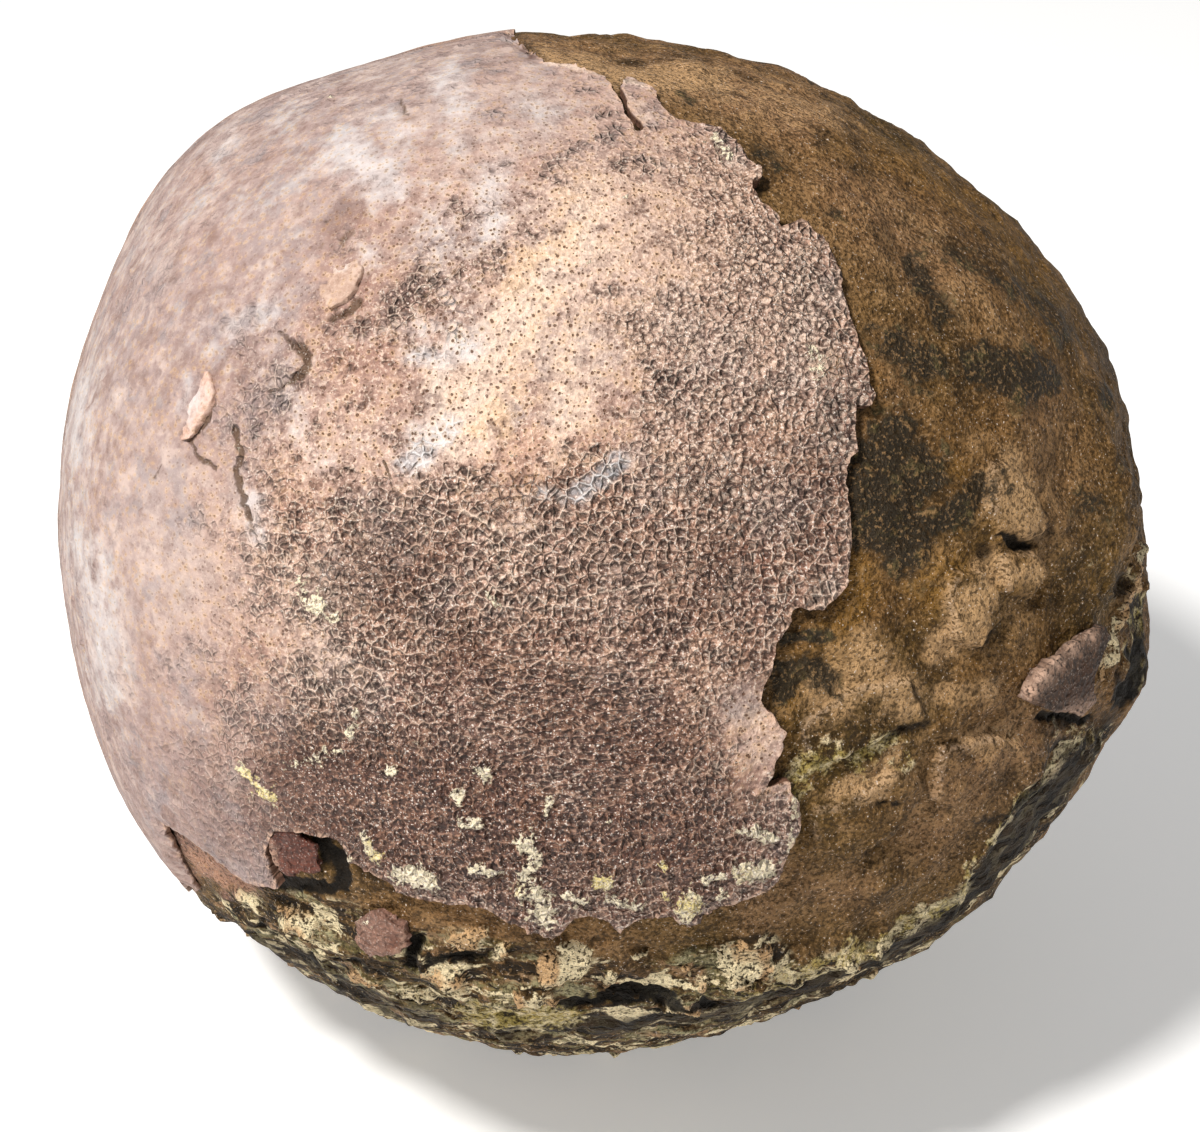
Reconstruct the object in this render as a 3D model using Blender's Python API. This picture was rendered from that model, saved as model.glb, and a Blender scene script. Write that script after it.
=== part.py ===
"""Fossil egg: a lump of hardened sediment that still carries most of its thin eggshell.

The shell has broken away along a jagged edge on the right, underneath and behind, where the
sediment core is bare, and small loose bits of shell are still stuck on. It rests on a flat
spot worn on its underside. Metres, +Z up, the front facing -Y, the origin on the flat spot.
"""

import math

import bpy
import bmesh
from mathutils import Vector, noise

MM = 0.001

# ---- driving dimensions, millimetres --------------------------------------------------------
CENTRE_HEIGHT = 71.0            # body centre above the flat spot
WIDTH_X = 164.0                 # size of the round blank before its sides are flattened
DEPTH_Y = 154.0
HEIGHT_Z = 153.0
EDGE_SHARPNESS = 18             # how crisply one flattened side turns into the next
SHELL_THICKNESS = 1.4
FIT_GAP = 0.3                   # between the eggshell and the sediment
SWELL = 0.45                    # slow rise and fall of the whole surface
ROUGHNESS_STONE = 0.75          # finer unevenness of the bare sediment

SKETCH_TILT = 30.0              # the front sketches are seen from this many degrees above level
SKETCH_EYE = 400.0              # and from this far in front of the centre
CONE_NEAR = 9.0                 # breakage tools taper outward from the centre of the body
CONE_FAR = 130.0

PICTURE_MIDDLE = (598.5, 541.0)  # the body centre in the 1200 x 1132 front picture
PICTURE_MM = 0.1412             # millimetres to one picture unit, at the body centre
PICK_STEP = 0.5                 # a pick is good to about half a millimetre
MEAN_RADIUS = 76.0              # turns a difference of two directions into millimetres


def picked(*places):
    """Places picked by eye in the front picture, x right and y down, as front sketch points."""
    def stepped(length):
        return round(length / PICK_STEP) * PICK_STEP
    return tuple(
        (stepped((x - PICTURE_MIDDLE[0]) * PICTURE_MM), stepped((PICTURE_MIDDLE[1] - y) * PICTURE_MM))
        for x, y in places
    )


# Flattened sides: azimuth (0 = +X, 90 = +Y), elevation, distance from the centre.
SIDES = (
    (-7, 9, 79.0), (3, 27, 85.0), (18, 48, 74.5), (48, 65, 74.5), (103, 71, 76.0),
    (141, 61, 77.5), (166, 45, 82.0), (-179, 19, 78.5), (-165, -3, 76.0), (-152, -21, 79.0),
    (-130, -38, 76.5), (-93, -49, 75.5), (-61, -44, 74.0), (-33, -22, 77.0), (0, 90, 78.0),
    (-90, 28, 77.0), (-60, 10, 79.0), (-125, 8, 78.5), (90, 25, 74.0),
)
# Broad swellings of the whole egg: azimuth, elevation, half width, height.
SHOULDERS = ((165, 45, 16.0, 2.5), (-16, -6, 8.0, 2.0))

# Front edge of the eggshell, from the top round the right side and along the bottom to the
# lower left, in picture units. The narrow slit near the top is a crack.
FRONT_EDGE = picked(
    (545, 62), (575, 68), (604, 76), (612, 90), (622, 106), (634, 129), (640, 131), (643, 127),
    (632, 108), (620, 88), (626, 78), (650, 88), (665, 108), (680, 118), (700, 122), (720, 132),
    (735, 145), (748, 158), (758, 170), (760, 178), (753, 184), (752, 190), (760, 202),
    (770, 206), (778, 214), (783, 226), (800, 220), (806, 222), (815, 232), (824, 236),
    (828, 246), (835, 258), (840, 270), (843, 290), (848, 300), (851, 318), (856, 335),
    (860, 348), (866, 362), (868, 380), (873, 396), (870, 405), (858, 403), (857, 428),
    (857, 452), (849, 457), (847, 470), (847, 500), (849, 515), (850, 565), (848, 580),
    (842, 592), (833, 602), (822, 609), (793, 610), (788, 625), (784, 638), (776, 648),
    (773, 660), (768, 675), (762, 700), (768, 712), (780, 722), (786, 732), (782, 745),
    (770, 784), (790, 783), (792, 795), (800, 815), (802, 828), (790, 850), (783, 875),
    (775, 885), (765, 892), (750, 897), (720, 905), (710, 912), (702, 916), (698, 925),
    (690, 928), (680, 922), (668, 916), (655, 915), (640, 920), (625, 930), (618, 933),
    (612, 927), (600, 920), (588, 918), (572, 920), (562, 928), (553, 936), (545, 935),
    (530, 930), (515, 922), (503, 920), (490, 908), (480, 904), (430, 902), (400, 892),
    (388, 882), (372, 875), (350, 862), (345, 845), (335, 840), (320, 836), (290, 830),
    (272, 832), (267, 850), (270, 870), (280, 889), (258, 886), (240, 882), (215, 868),
)
# The rest of the front patch, on shell that the rear patch carries on: azimuth, elevation.
FRONT_INSIDE = (
    (-154, -10), (-160, 10), (-165, 32), (175, 50), (155, 62), (150, 70),
)
# The shell round the left side and the back, azimuth and elevation, from the lower left.
REAR_EDGE = (
    (-141, -17), (-143.5, -25), (-147.5, -27), (-150, -30), (-155, -29.5), (-159, -33),
    (-165, -34), (-168, -38), (-174, -36), (-179, -40), (175, -38), (170, -43),
    (163, -41), (158, -35), (152, -36.5), (148, -29), (141, -27), (139, -20), (132, -17),
    (136, -15), (133, -10), (128, -7.5), (126, -4), (119, -5), (116.5, -1), (115, 4),
    (117, 9), (112, 11), (109, 15), (104, 14), (101, 17), (100, 23), (101.5, 27), (95, 33),
    (98, 35.5), (97, 39), (92.5, 41), (94, 44), (99, 45), (100.5, 48.5), (105, 49),
    (104.5, 51.5), (108, 53), (108.5, 56), (112, 58), (111, 61), (115, 63), (114, 67),
    (118, 69.5), (118.5, 71.5), (127, 74), (130, 77), (138, 78.5), (150, 81), (169, 83),
    (-156, 83.8), (-138, 82.6), (-125, 66), (-133, 45), (-135, 20), (-137, 0),
)

CRACK_LEFT = picked(
    (233, 430), (238, 428), (241, 450), (245, 478), (250, 498), (258, 520), (254, 522),
    (246, 500), (240, 480), (236, 452),
)
RECESS_LEFT = picked(
    (290, 338), (300, 345), (307, 356), (302, 366), (293, 378), (284, 388), (270, 390),
    (252, 392), (238, 384), (232, 368), (240, 350), (262, 340),
)
RECESS_DEPTH = 0.6

# Loose bits: outline, height of the underside above the surface it lies on, thickness.
CHIP = (
    (-44.5, -41.8), (-42.5, -42.3), (-41.5, -43.5), (-39.5, -45), (-39, -46.5),
    (-39.5, -48), (-42, -47.8), (-44, -47.3), (-45.5, -45.5), (-45.5, -43.5),
)
FLAKE_LEFT = picked(
    (188, 378), (205, 372), (214, 380), (215, 395), (208, 412), (203, 428), (190, 441),
    (179, 443), (178, 432), (182, 405),
)
FLAKE_UPPER = picked(
    (322, 270), (335, 258), (352, 256), (360, 270), (358, 288), (346, 302), (332, 306),
    (320, 296),
)
RIM_BIT = picked(
    (352, 935), (362, 922), (385, 918), (402, 926), (408, 938), (398, 950), (380, 956),
    (362, 950),
)
WEDGE = picked(
    (1022, 702), (1030, 688), (1045, 672), (1062, 656), (1085, 640), (1106, 626), (1112, 636),
    (1102, 655), (1096, 676), (1094, 700), (1080, 714), (1050, 712),
)

# Raised plates of the bare core: outline and height.
LEDGES = (
    (((51, -4), (54, -4.5), (56.5, -7), (57, -11), (54, -15), (51, -14), (50, -9)), 1.0),
    (((55, 11), (58, 10), (61, 6), (63, 2), (61, 0.5), (56, 0), (55, 5)), 1.1),
    (((57, -2), (61, -1.5), (63, -4), (61.5, -8), (58, -7.5)), 0.8),
    (((36, -22), (45, -20), (47.5, -26), (42, -28), (36, -31), (30.5, -32), (30, -27)), 0.9),
    (((31, -39), (37, -37), (42, -33), (47, -35), (43, -42), (36, -46), (31.5, -44)), 1.1),
    (((50, -30), (57, -28), (63, -30), (61, -36), (53, -40), (48, -37)), 0.9),
)

# Ridges of the bare core: path, half width, height.
RIDGES = (
    (((61, -34), (57, -41), (53, -47), (49, -53), (42, -57), (33, -60), (22, -63)), 4.0, 1.8),
    (((18, -64), (8, -66), (-6, -66), (-18, -65)), 4.0, 1.1),
    (((-24, -62), (-36, -59), (-48, -54)), 4.0, 1.0),
    (((73, 20), (75, 8), (74.5, -4)), 4.5, 1.0),
)
# Lumps and hollows: x, y, half width, height.
LUMPS = (
    (76, -20, 5.0, 2.2), (74, 4, 6.0, 1.4), (-4, -58.5, 4.0, 1.1), (20, -59.5, 4.5, 1.2),
    (11, -66, 4.0, 1.0), (-49, -57, 6.0, 1.0), (60, 30, 9.0, 0.9), (48, 44, 8.0, -0.8),
    (66, -8, 5.0, -1.2), (47, -13, 5.0, -0.8), (34, -15, 4.5, -0.6), (40, 4, 6.0, -0.6),
    (54, -24, 5.0, 0.9), (68, 12, 6.0, -0.9), (43, -50, 7.0, 0.8), (30, -55, 5.0, -0.7),
)
# The same on the parts out of the front view: azimuth, elevation, half width, height.
REAR_LUMPS = (
    (40, 5, 10.0, 1.4), (60, 40, 9.0, -1.0), (25, 30, 9.0, 1.0), (75, -5, 8.0, 1.2),
    (55, -35, 9.0, 1.3), (100, -28, 8.0, -1.1), (10, -20, 8.0, 1.2), (120, -45, 8.0, 1.2),
    (80, 12, 7.0, -0.9), (30, -8, 8.0, -1.2), (48, 58, 8.0, 0.9),
)
# Pits: x, y, radius.
PITS = ((-26.5, -57.5, 1.7), (73, -6, 1.8), (55.5, -1.6, 1.3), (66, -25.5, 1.4))

TILT = math.radians(SKETCH_TILT)
TO_EYE = Vector((0.0, -math.cos(TILT), math.sin(TILT)))
SKETCH_UP = Vector((0.0, math.sin(TILT), math.cos(TILT)))
SKETCH_RIGHT = Vector((1.0, 0.0, 0.0))
CENTRE = Vector((0.0, 0.0, CENTRE_HEIGHT))


def heading(azimuth, elevation):
    a = math.radians(azimuth)
    e = math.radians(elevation)
    return Vector((math.cos(a) * math.cos(e), math.sin(a) * math.cos(e), math.sin(e)))


def bump(distance, width):
    t = min(1.0, distance / (2.0 * width))
    return (1.0 - t * t) ** 3


SIDE_PLANES = tuple((heading(a, e), d) for a, e, d in SIDES)
SHOULDER_MARKS = tuple((heading(a, e), w, h) for a, e, w, h in SHOULDERS)


def body_radius(d):
    """Outer surface of the whole egg, with its eggshell, in the direction d."""
    blank = (2 * d.x / WIDTH_X) ** 2 + (2 * d.y / DEPTH_Y) ** 2 + (2 * d.z / HEIGHT_Z) ** 2
    total = blank ** (EDGE_SHARPNESS / 2)
    for normal, distance in SIDE_PLANES:
        facing = d.dot(normal)
        if facing > 0.0:
            total += (facing / distance) ** EDGE_SHARPNESS
    swelling = sum(h * bump((d - mark).length * MEAN_RADIUS, w) for mark, w, h in SHOULDER_MARKS)
    return total ** (-1.0 / EDGE_SHARPNESS) + swelling + SWELL * noise.noise(d * 2.6)


def on_front(x, y):
    """Direction of the point of the body that lies behind the sketch point (x, y)."""
    eye = TO_EYE * SKETCH_EYE
    ray = (SKETCH_RIGHT * x + SKETCH_UP * y - eye).normalized()
    best = None
    for step in range(1200):
        p = eye + ray * (300.0 + step * 0.12)
        clear = p.length - body_radius(p.normalized())
        if best is None or clear < best[0]:
            best = (clear, p)
        if clear <= 0.0:
            break
    return best[1].normalized()


def front(points):
    return [on_front(x, y) for x, y in points]


def rear(points):
    return [heading(a, e) for a, e in points]


def path_points(points):
    """Directions along a ridge, about 2 mm apart."""
    ends = front(points)
    out = []
    for a, b in zip(ends, ends[1:]):
        count = max(2, int((a - b).length * 36))
        out += [a.lerp(b, i / count).normalized() for i in range(count)]
    return out + [ends[-1]]


RIDGE_MARKS = tuple((path_points(p), w, h) for p, w, h in RIDGES)
LUMP_MARKS = tuple((on_front(x, y), w, h) for x, y, w, h in LUMPS)
LUMP_MARKS += tuple((heading(a, e), w, h) for a, e, w, h in REAR_LUMPS)


def core_radius(d):
    """Smooth surface of the sediment, where the inside of the eggshell lay against it."""
    return body_radius(d) - SHELL_THICKNESS - FIT_GAP


def relief(d):
    """Lumps, hollows and ridges that the bare sediment has and the shelled part has not."""
    out = 0.0
    for marks, width, height in RIDGE_MARKS:
        near = min((d - m).length for m in marks) * MEAN_RADIUS
        out += height * bump(near, width)
    for mark, width, height in LUMP_MARKS:
        out += height * bump((d - mark).length * MEAN_RADIUS, width)
    return out


def bare_radius(d):
    uneven = ROUGHNESS_STONE * noise.fractal(d * 9.0, 0.8, 2.0, 3)
    return core_radius(d) + bare_share(d) * (relief(d) + uneven - 0.15)


def bare_share(d):
    """0 under the eggshell and beside its edge, 1 well out on the bare sediment."""
    inside = any(covers(patch, d) for patch in SHELL_PATCHES)
    if inside:
        return 0.0
    near = min(min((d - p).length for p in patch["points"]) for patch in SHELL_PATCHES)
    return min(1.0, max(0.0, near * MEAN_RADIUS - 5.0) / 4.0)


def frame_of(points, axis=None):
    axis = (axis or sum(points, Vector())).normalized()
    side = axis.cross(Vector((0, 0, 1)))
    if side.length < 0.2:
        side = axis.cross(Vector((0, 1, 0)))
    side.normalize()
    return side, axis.cross(side).normalized() * -1.0, axis


def flat_sketch(points, basis):
    """The outline seen from the centre, on a plane one unit out along the axis."""
    side, up, axis = basis
    return [(p.dot(side) / p.dot(axis), p.dot(up) / p.dot(axis)) for p in points]


def patch_of(points, axis=None):
    basis = frame_of(points, axis)
    return {"points": points, "basis": basis, "flat": flat_sketch(points, basis)}


def covers(patch, d):
    side, up, axis = patch["basis"]
    depth = d.dot(axis)
    if depth < 0.05:
        return False
    x = d.dot(side) / depth
    y = d.dot(up) / depth
    flat = patch["flat"]
    hit = False
    for (x0, y0), (x1, y1) in zip(flat, flat[1:] + flat[:1]):
        if (y0 > y) != (y1 > y) and x < x0 + (y - y0) * (x1 - x0) / (y1 - y0):
            hit = not hit
    return hit


FRONT_PATCH = patch_of(front(FRONT_EDGE) + rear(FRONT_INSIDE), heading(-112, 40))
REAR_PATCH = patch_of(rear(REAR_EDGE), heading(168, 18))
SHELL_PATCHES = (FRONT_PATCH, REAR_PATCH)


# ---- scene helpers --------------------------------------------------------------------------
def collection(name):
    found = bpy.data.collections.get(name) or bpy.data.collections.new(name)
    if found.name not in bpy.context.scene.collection.children:
        bpy.context.scene.collection.children.link(found)
    return found


def place(obj, group):
    for owner in list(obj.users_collection):
        owner.objects.unlink(obj)
    group.objects.link(obj)


def material(name, colour, roughness):
    mat = bpy.data.materials.new(name)
    mat.use_nodes = True
    shader = mat.node_tree.nodes["Principled BSDF"]
    shader.inputs["Base Color"].default_value = (*colour, 1.0)
    shader.inputs["Roughness"].default_value = roughness
    return mat


def solid(name, radius, level):
    """A closed body whose surface stands at radius(direction) round the centre."""
    bpy.ops.mesh.primitive_ico_sphere_add(subdivisions=level, radius=1.0)
    obj = bpy.context.active_object
    obj.name = name
    for v in obj.data.vertices:
        d = v.co.normalized()
        v.co = (CENTRE + d * radius(d)) * MM
    place(obj, PARTS)
    return obj


def cone(name, patch):
    """The outline drawn out from near the centre to well beyond the surface."""
    data = bpy.data.curves.new(name, "CURVE")
    data.dimensions = "2D"
    data.fill_mode = "BOTH"
    data.extrude = 1.0
    spline = data.splines.new("POLY")
    spline.points.add(len(patch["flat"]) - 1)
    for point, (x, y) in zip(spline.points, patch["flat"]):
        point.co = (x, y, 0.0, 1.0)
    spline.use_cyclic_u = True
    obj = bpy.data.objects.new(name, data)
    bpy.context.scene.collection.objects.link(obj)
    for other in bpy.context.selected_objects:
        other.select_set(False)
    bpy.context.view_layer.objects.active = obj
    obj.select_set(True)
    bpy.ops.object.convert(target="MESH")
    obj = bpy.context.active_object
    side, up, axis = patch["basis"]
    bm = bmesh.new()
    bm.from_mesh(obj.data)
    bmesh.ops.remove_doubles(bm, verts=bm.verts, dist=0.0001)
    for v in bm.verts:
        reach = CONE_FAR if v.co.z > 0.0 else CONE_NEAR
        v.co = (CENTRE + (side * v.co.x + up * v.co.y + axis) * reach) * MM
    bmesh.ops.recalc_face_normals(bm, faces=bm.faces)
    bm.to_mesh(obj.data)
    bm.free()
    place(obj, TOOLS)
    return obj


def combine(target, tool, operation):
    mod = target.modifiers.new("shape", "BOOLEAN")
    mod.operation = operation
    mod.solver = "EXACT"
    mod.object = tool
    bpy.context.view_layer.objects.active = target
    bpy.ops.object.modifier_apply(modifier=mod.name)


def discard(obj):
    bpy.data.objects.remove(obj)


def drop_specks(obj, smallest):
    """Remove separate crumbs that a cut leaves beside the piece."""
    bm = bmesh.new()
    bm.from_mesh(obj.data)
    left = set(bm.verts)
    while left:
        group = {left.pop()}
        front_line = list(group)
        while front_line:
            v = front_line.pop()
            for edge in v.link_edges:
                w = edge.other_vert(v)
                if w not in group:
                    group.add(w)
                    front_line.append(w)
        left -= group
        if len(group) < smallest:
            bmesh.ops.delete(bm, geom=list(group), context="VERTS")
    bm.to_mesh(obj.data)
    bm.free()


def finish(obj, mat, crease=40.0):
    bm = bmesh.new()
    bm.from_mesh(obj.data)
    bmesh.ops.remove_doubles(bm, verts=bm.verts, dist=0.00001)
    bmesh.ops.triangulate(bm, faces=[f for f in bm.faces if len(f.verts) > 4])
    bmesh.ops.recalc_face_normals(bm, faces=bm.faces)
    bm.to_mesh(obj.data)
    bm.free()
    obj.data.materials.clear()
    obj.data.materials.append(mat)
    for polygon in obj.data.polygons:
        polygon.material_index = 0
        polygon.use_smooth = True
    obj.data.set_sharp_from_angle(angle=math.radians(crease))
    place(obj, PARTS)


def plate(name, outline, low, high, level=5):
    """A curved plate between two surfaces round the body, cut to an outline."""
    patch = patch_of(outline)
    piece = solid(name, high, level)
    inner = solid(name + "_inside", low, level)
    cut = cone(name + "_cutter", patch)
    combine(piece, cut, "INTERSECT")
    combine(piece, inner, "DIFFERENCE")
    discard(inner)
    return piece


# ---- pieces ---------------------------------------------------------------------------------
def core_blank():
    """Plain facets like those of the shell's inside where it lies on it, finer where bare."""
    core = solid("stone_core", core_radius, 4)
    bm = bmesh.new()
    bm.from_mesh(core.data)
    edges = set()
    for face in bm.faces:
        corners = [v.co / MM - CENTRE for v in face.verts] + [face.calc_center_median() / MM - CENTRE]
        if any(bare_share(c.normalized()) > 0.0 for c in corners):
            edges.update(face.edges)
    bmesh.ops.subdivide_edges(bm, edges=list(edges), cuts=1, use_grid_fill=True)
    bmesh.ops.triangulate(bm, faces=bm.faces)
    for v in bm.verts:
        arm = v.co / MM - CENTRE
        d = arm.normalized()
        share = bare_share(d)
        if share > 0.0:
            v.co = (CENTRE + d * (arm.length * (1.0 - share) + bare_radius(d) * share)) * MM
    bm.to_mesh(core.data)
    bm.free()
    return core


def build_core():
    core = core_blank()
    for number, (outline, height) in enumerate(LEDGES, 1):
        slab = solid("slab", lambda d: core_radius(d) + height, 5)
        cut = cone("ledge_%d_cutter" % number, patch_of(front(outline)))
        combine(slab, cut, "INTERSECT")
        combine(core, slab, "UNION")
        discard(slab)
    for number, (x, y, radius) in enumerate(PITS, 1):
        d = on_front(x, y)
        where = (CENTRE + d * (bare_radius(d) + 0.3 * radius)) * MM
        bpy.ops.mesh.primitive_ico_sphere_add(subdivisions=2, radius=radius * MM, location=where)
        pit = bpy.context.active_object
        pit.name = "pit_%d_cutter" % number
        place(pit, TOOLS)
        combine(core, pit, "DIFFERENCE")
    bpy.ops.mesh.primitive_cube_add(size=0.2, location=(0, 0, -0.1))
    ground = bpy.context.active_object
    ground.name = "flat_spot_cutter"
    place(ground, TOOLS)
    combine(core, ground, "DIFFERENCE")
    return core


def build_shell():
    shell = solid("eggshell", body_radius, 5)
    inner = solid("eggshell_inside", lambda d: body_radius(d) - SHELL_THICKNESS, 4)
    cover = cone("front_patch_cutter", FRONT_PATCH)
    around = cone("rear_patch_cutter", REAR_PATCH)
    combine(cover, around, "UNION")
    combine(shell, cover, "INTERSECT")
    combine(shell, inner, "DIFFERENCE")
    discard(inner)
    combine(shell, cone("left_crack_cutter", patch_of(front(CRACK_LEFT))), "DIFFERENCE")
    flaked = cone("left_recess_cutter", patch_of(front(RECESS_LEFT)))
    bed = solid("recess_bed", lambda d: body_radius(d) - RECESS_DEPTH, 5)
    combine(flaked, bed, "DIFFERENCE")
    discard(bed)
    combine(shell, flaked, "DIFFERENCE")
    drop_specks(shell, 40)
    return shell


def build():
    stone = material("sediment_stone", (0.19, 0.13, 0.07), 0.9)
    shell_look = material("eggshell_mauve", (0.30, 0.20, 0.155), 0.7)
    chip_look = material("chip_red_brown", (0.22, 0.09, 0.045), 0.7)
    flake_look = material("flake_pale", (0.42, 0.31, 0.24), 0.7)
    upper_look = material("upper_flake_buff", (0.38, 0.27, 0.20), 0.7)
    rim_look = material("rim_bit_pink", (0.38, 0.26, 0.20), 0.75)
    wedge_look = material("wedge_dark_red", (0.16, 0.085, 0.06), 0.75)

    finish(build_core(), stone)
    finish(build_shell(), shell_look)

    def above_shell(extra):
        return lambda d: body_radius(d) + extra

    def above_core(extra):
        return lambda d: bare_radius(d) + extra

    def above_bed(extra):
        return lambda d: core_radius(d) + extra

    chip = plate("shell_chip_lower_left", front(CHIP), above_bed(0.35), above_bed(1.7))
    finish(chip, chip_look)
    flake = plate("shell_flake_left", front(FLAKE_LEFT), above_shell(0.3), above_shell(1.5))
    finish(flake, flake_look)
    upper = plate("shell_flake_upper", front(FLAKE_UPPER), above_shell(0.3), above_shell(1.2))
    finish(upper, upper_look)
    rim_bit = plate("shell_fragment_rim", front(RIM_BIT), above_core(0.3), above_core(2.2))
    finish(rim_bit, rim_look)
    wedge = plate("shell_fragment_right", front(WEDGE), above_core(0.3), above_core(2.6))
    finish(wedge, wedge_look)


for old in list(bpy.data.objects):
    bpy.data.objects.remove(old)
PARTS = collection("fossil_egg")
TOOLS = collection("cutters")
build()
for tool in TOOLS.objects:
    tool.hide_render = True
    tool.display_type = "WIRE"
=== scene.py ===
"""Fossil egg, dressed: a sediment core, the thin pitted eggshell broken away from part of it, and
the loose bits of shell that are still stuck on. Metres, +Z up, the front facing -Y."""

import math

import bpy
import bmesh
import numpy as np
from bpy.props import FloatProperty, FloatVectorProperty, PointerProperty
from mathutils import Euler, Matrix, Vector, geometry, noise
from mathutils.bvhtree import BVHTree
from mathutils.kdtree import KDTree


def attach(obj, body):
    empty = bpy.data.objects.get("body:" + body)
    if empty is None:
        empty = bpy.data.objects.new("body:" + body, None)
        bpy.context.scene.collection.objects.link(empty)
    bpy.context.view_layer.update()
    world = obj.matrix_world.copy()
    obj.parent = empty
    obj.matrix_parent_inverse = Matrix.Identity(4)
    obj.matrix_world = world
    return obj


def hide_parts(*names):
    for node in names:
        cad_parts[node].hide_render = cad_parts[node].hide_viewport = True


bl_info = {
    "name": "Fossil egg",
    "version": (1, 0, 0),
    "blender": (4, 5, 0),
    "location": "3D View > Sidebar > Fossil egg",
    "description": "Builds a fossil egg with its broken eggshell, stone core and loose bits",
    "category": "Object",
}

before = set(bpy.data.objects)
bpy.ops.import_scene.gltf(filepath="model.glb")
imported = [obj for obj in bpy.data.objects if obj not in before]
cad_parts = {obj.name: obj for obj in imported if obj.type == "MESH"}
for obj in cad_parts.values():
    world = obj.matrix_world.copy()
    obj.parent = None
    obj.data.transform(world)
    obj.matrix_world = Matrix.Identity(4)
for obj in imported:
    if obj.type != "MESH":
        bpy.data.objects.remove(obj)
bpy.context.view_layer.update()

MM = 0.001
MM_IN_METRE = 1000.0


def tint(red, green, blue):
    """A linear colour from its everyday 0-255 numbers, by the usual display curve."""
    return tuple(
        v / 3294.6 if v <= 10 else ((v / 255 + 0.055) / 1.055) ** 2.4 for v in (red, green, blue)
    )


# ---- form of the egg, millimetres --------------------------------------------------------------
CENTRE_HEIGHT = 71.0
CENTRE = np.array((0.0, 0.0, CENTRE_HEIGHT))
# Width, depth and height of the round blank, and how sharply its flattened sides meet.
BLANK = np.array((164.0, 154.0, 153.0))
EDGE_SHARPNESS = 18
SHELL_THICKNESS = 1.4
FIT_GAP = 0.3
# Slow unevenness of the whole surface: its height, and how many times it changes over the egg.
SWELL = 0.45
SWELL_RATE = 2.6
# Mean radius, which turns directions into millimetres along the surface.
REACH = 76.0
FAR_AWAY = 1e9
OUT_OF_REACH = 99.0

# The front sketch: its tilt, the eye's distance from the egg's centre, the place on it that lies on
# the centre, and the size of its unit (mm). Places in the tables are in these units, counted right
# and down, unless they say mm.
SKETCH_TILT = math.radians(30.0)
SKETCH_EYE = 400.0
SKETCH_MIDDLE = (598.5, 541.0)
SKETCH_UNIT = 0.1412
STEPS_IN_MM = 10
RECESS_STEPS_IN_MM = 2

# A ray from the eye is followed from this distance in steps of this length.
RAY_START = 300.0
RAY_STEP = 0.12
RAY_STEPS = 1200

# Rays that ask where the shell lies start this far out (mm) and are this long (metres).
CAST_FROM = 110.0
CAST_LENGTH = 0.06

# Round blanks: levels of the blank of a piece, of the grid that finds the rim and of the inner face.
BLANK_LEVEL = 5
RIM_LEVEL = 6
INNER_LEVEL = 5
# The rim is found by halving each crossing edge this often. Both sheets are fine as far as
# RIM_WIDTH beyond it, and the inner face's own points stay INNER_CLEARANCE away from it.
RIM_HALVINGS = 8
RIM_WIDTH = 3.0
INNER_CLEARANCE = 2.5

# Flattened sides: azimuth, elevation, distance from the centre.
SIDES = (
    (-7, 9, 79.0), (3, 27, 85.0), (18, 48, 74.5), (48, 65, 74.5), (103, 71, 76.0),
    (141, 61, 77.5), (166, 45, 82.0), (-179, 19, 78.5), (-165, -3, 76.0), (-152, -21, 79.0),
    (-130, -38, 76.5), (-93, -49, 75.5), (-61, -44, 74.0), (-33, -22, 77.0), (0, 90, 78.0),
    (-90, 28, 77.0), (-60, 10, 79.0), (-125, 8, 78.5), (90, 25, 74.0),
)
# Swellings: azimuth, elevation, half width, height.
SHOULDERS = ((165, 45, 16.0, 2.5), (-16, -6, 8.0, 2.0))
# Flaked hollow near the crack: outline in the front sketch, depth (mm).
RECESS_LEFT = (
    (290, 338), (300, 345), (307, 356), (302, 366), (293, 378), (284, 388),
    (270, 390), (252, 392), (238, 384), (232, 368), (240, 350), (262, 340),
)
RECESS_DEPTH = 0.5
# Raised plates of the stone: outline in the front sketch (mm), height.
LEDGES = (
    (((51, -4), (54, -4.5), (56.5, -7), (57, -11), (54, -15), (51, -14), (50, -9)), 1.0),
    (((55, 11), (58, 10), (61, 6), (63, 2), (61, 0.5), (56, 0), (55, 5)), 1.1),
    (((57, -2), (61, -1.5), (63, -4), (61.5, -8), (58, -7.5)), 0.8),
    (((36, -22), (45, -20), (47.5, -26), (42, -28), (36, -31), (30.5, -32), (30, -27)), 0.9),
    (((31, -39), (37, -37), (42, -33), (47, -35), (43, -42), (36, -46), (31.5, -44)), 1.1),
    (((50, -30), (57, -28), (63, -30), (61, -36), (53, -40), (48, -37)), 0.9),
)
# Ridges: path in the front sketch (mm), half width, height.
RIDGES = (
    (((61, -34), (57, -41), (53, -47), (49, -53), (42, -57), (33, -60), (22, -63)), 4.0, 1.8),
    (((18, -64), (8, -66), (-6, -66), (-18, -65)), 4.0, 1.1),
    (((-24, -62), (-36, -59), (-48, -54)), 4.0, 1.0),
    (((73, 20), (75, 8), (74.5, -4)), 4.5, 1.0),
)
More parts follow.
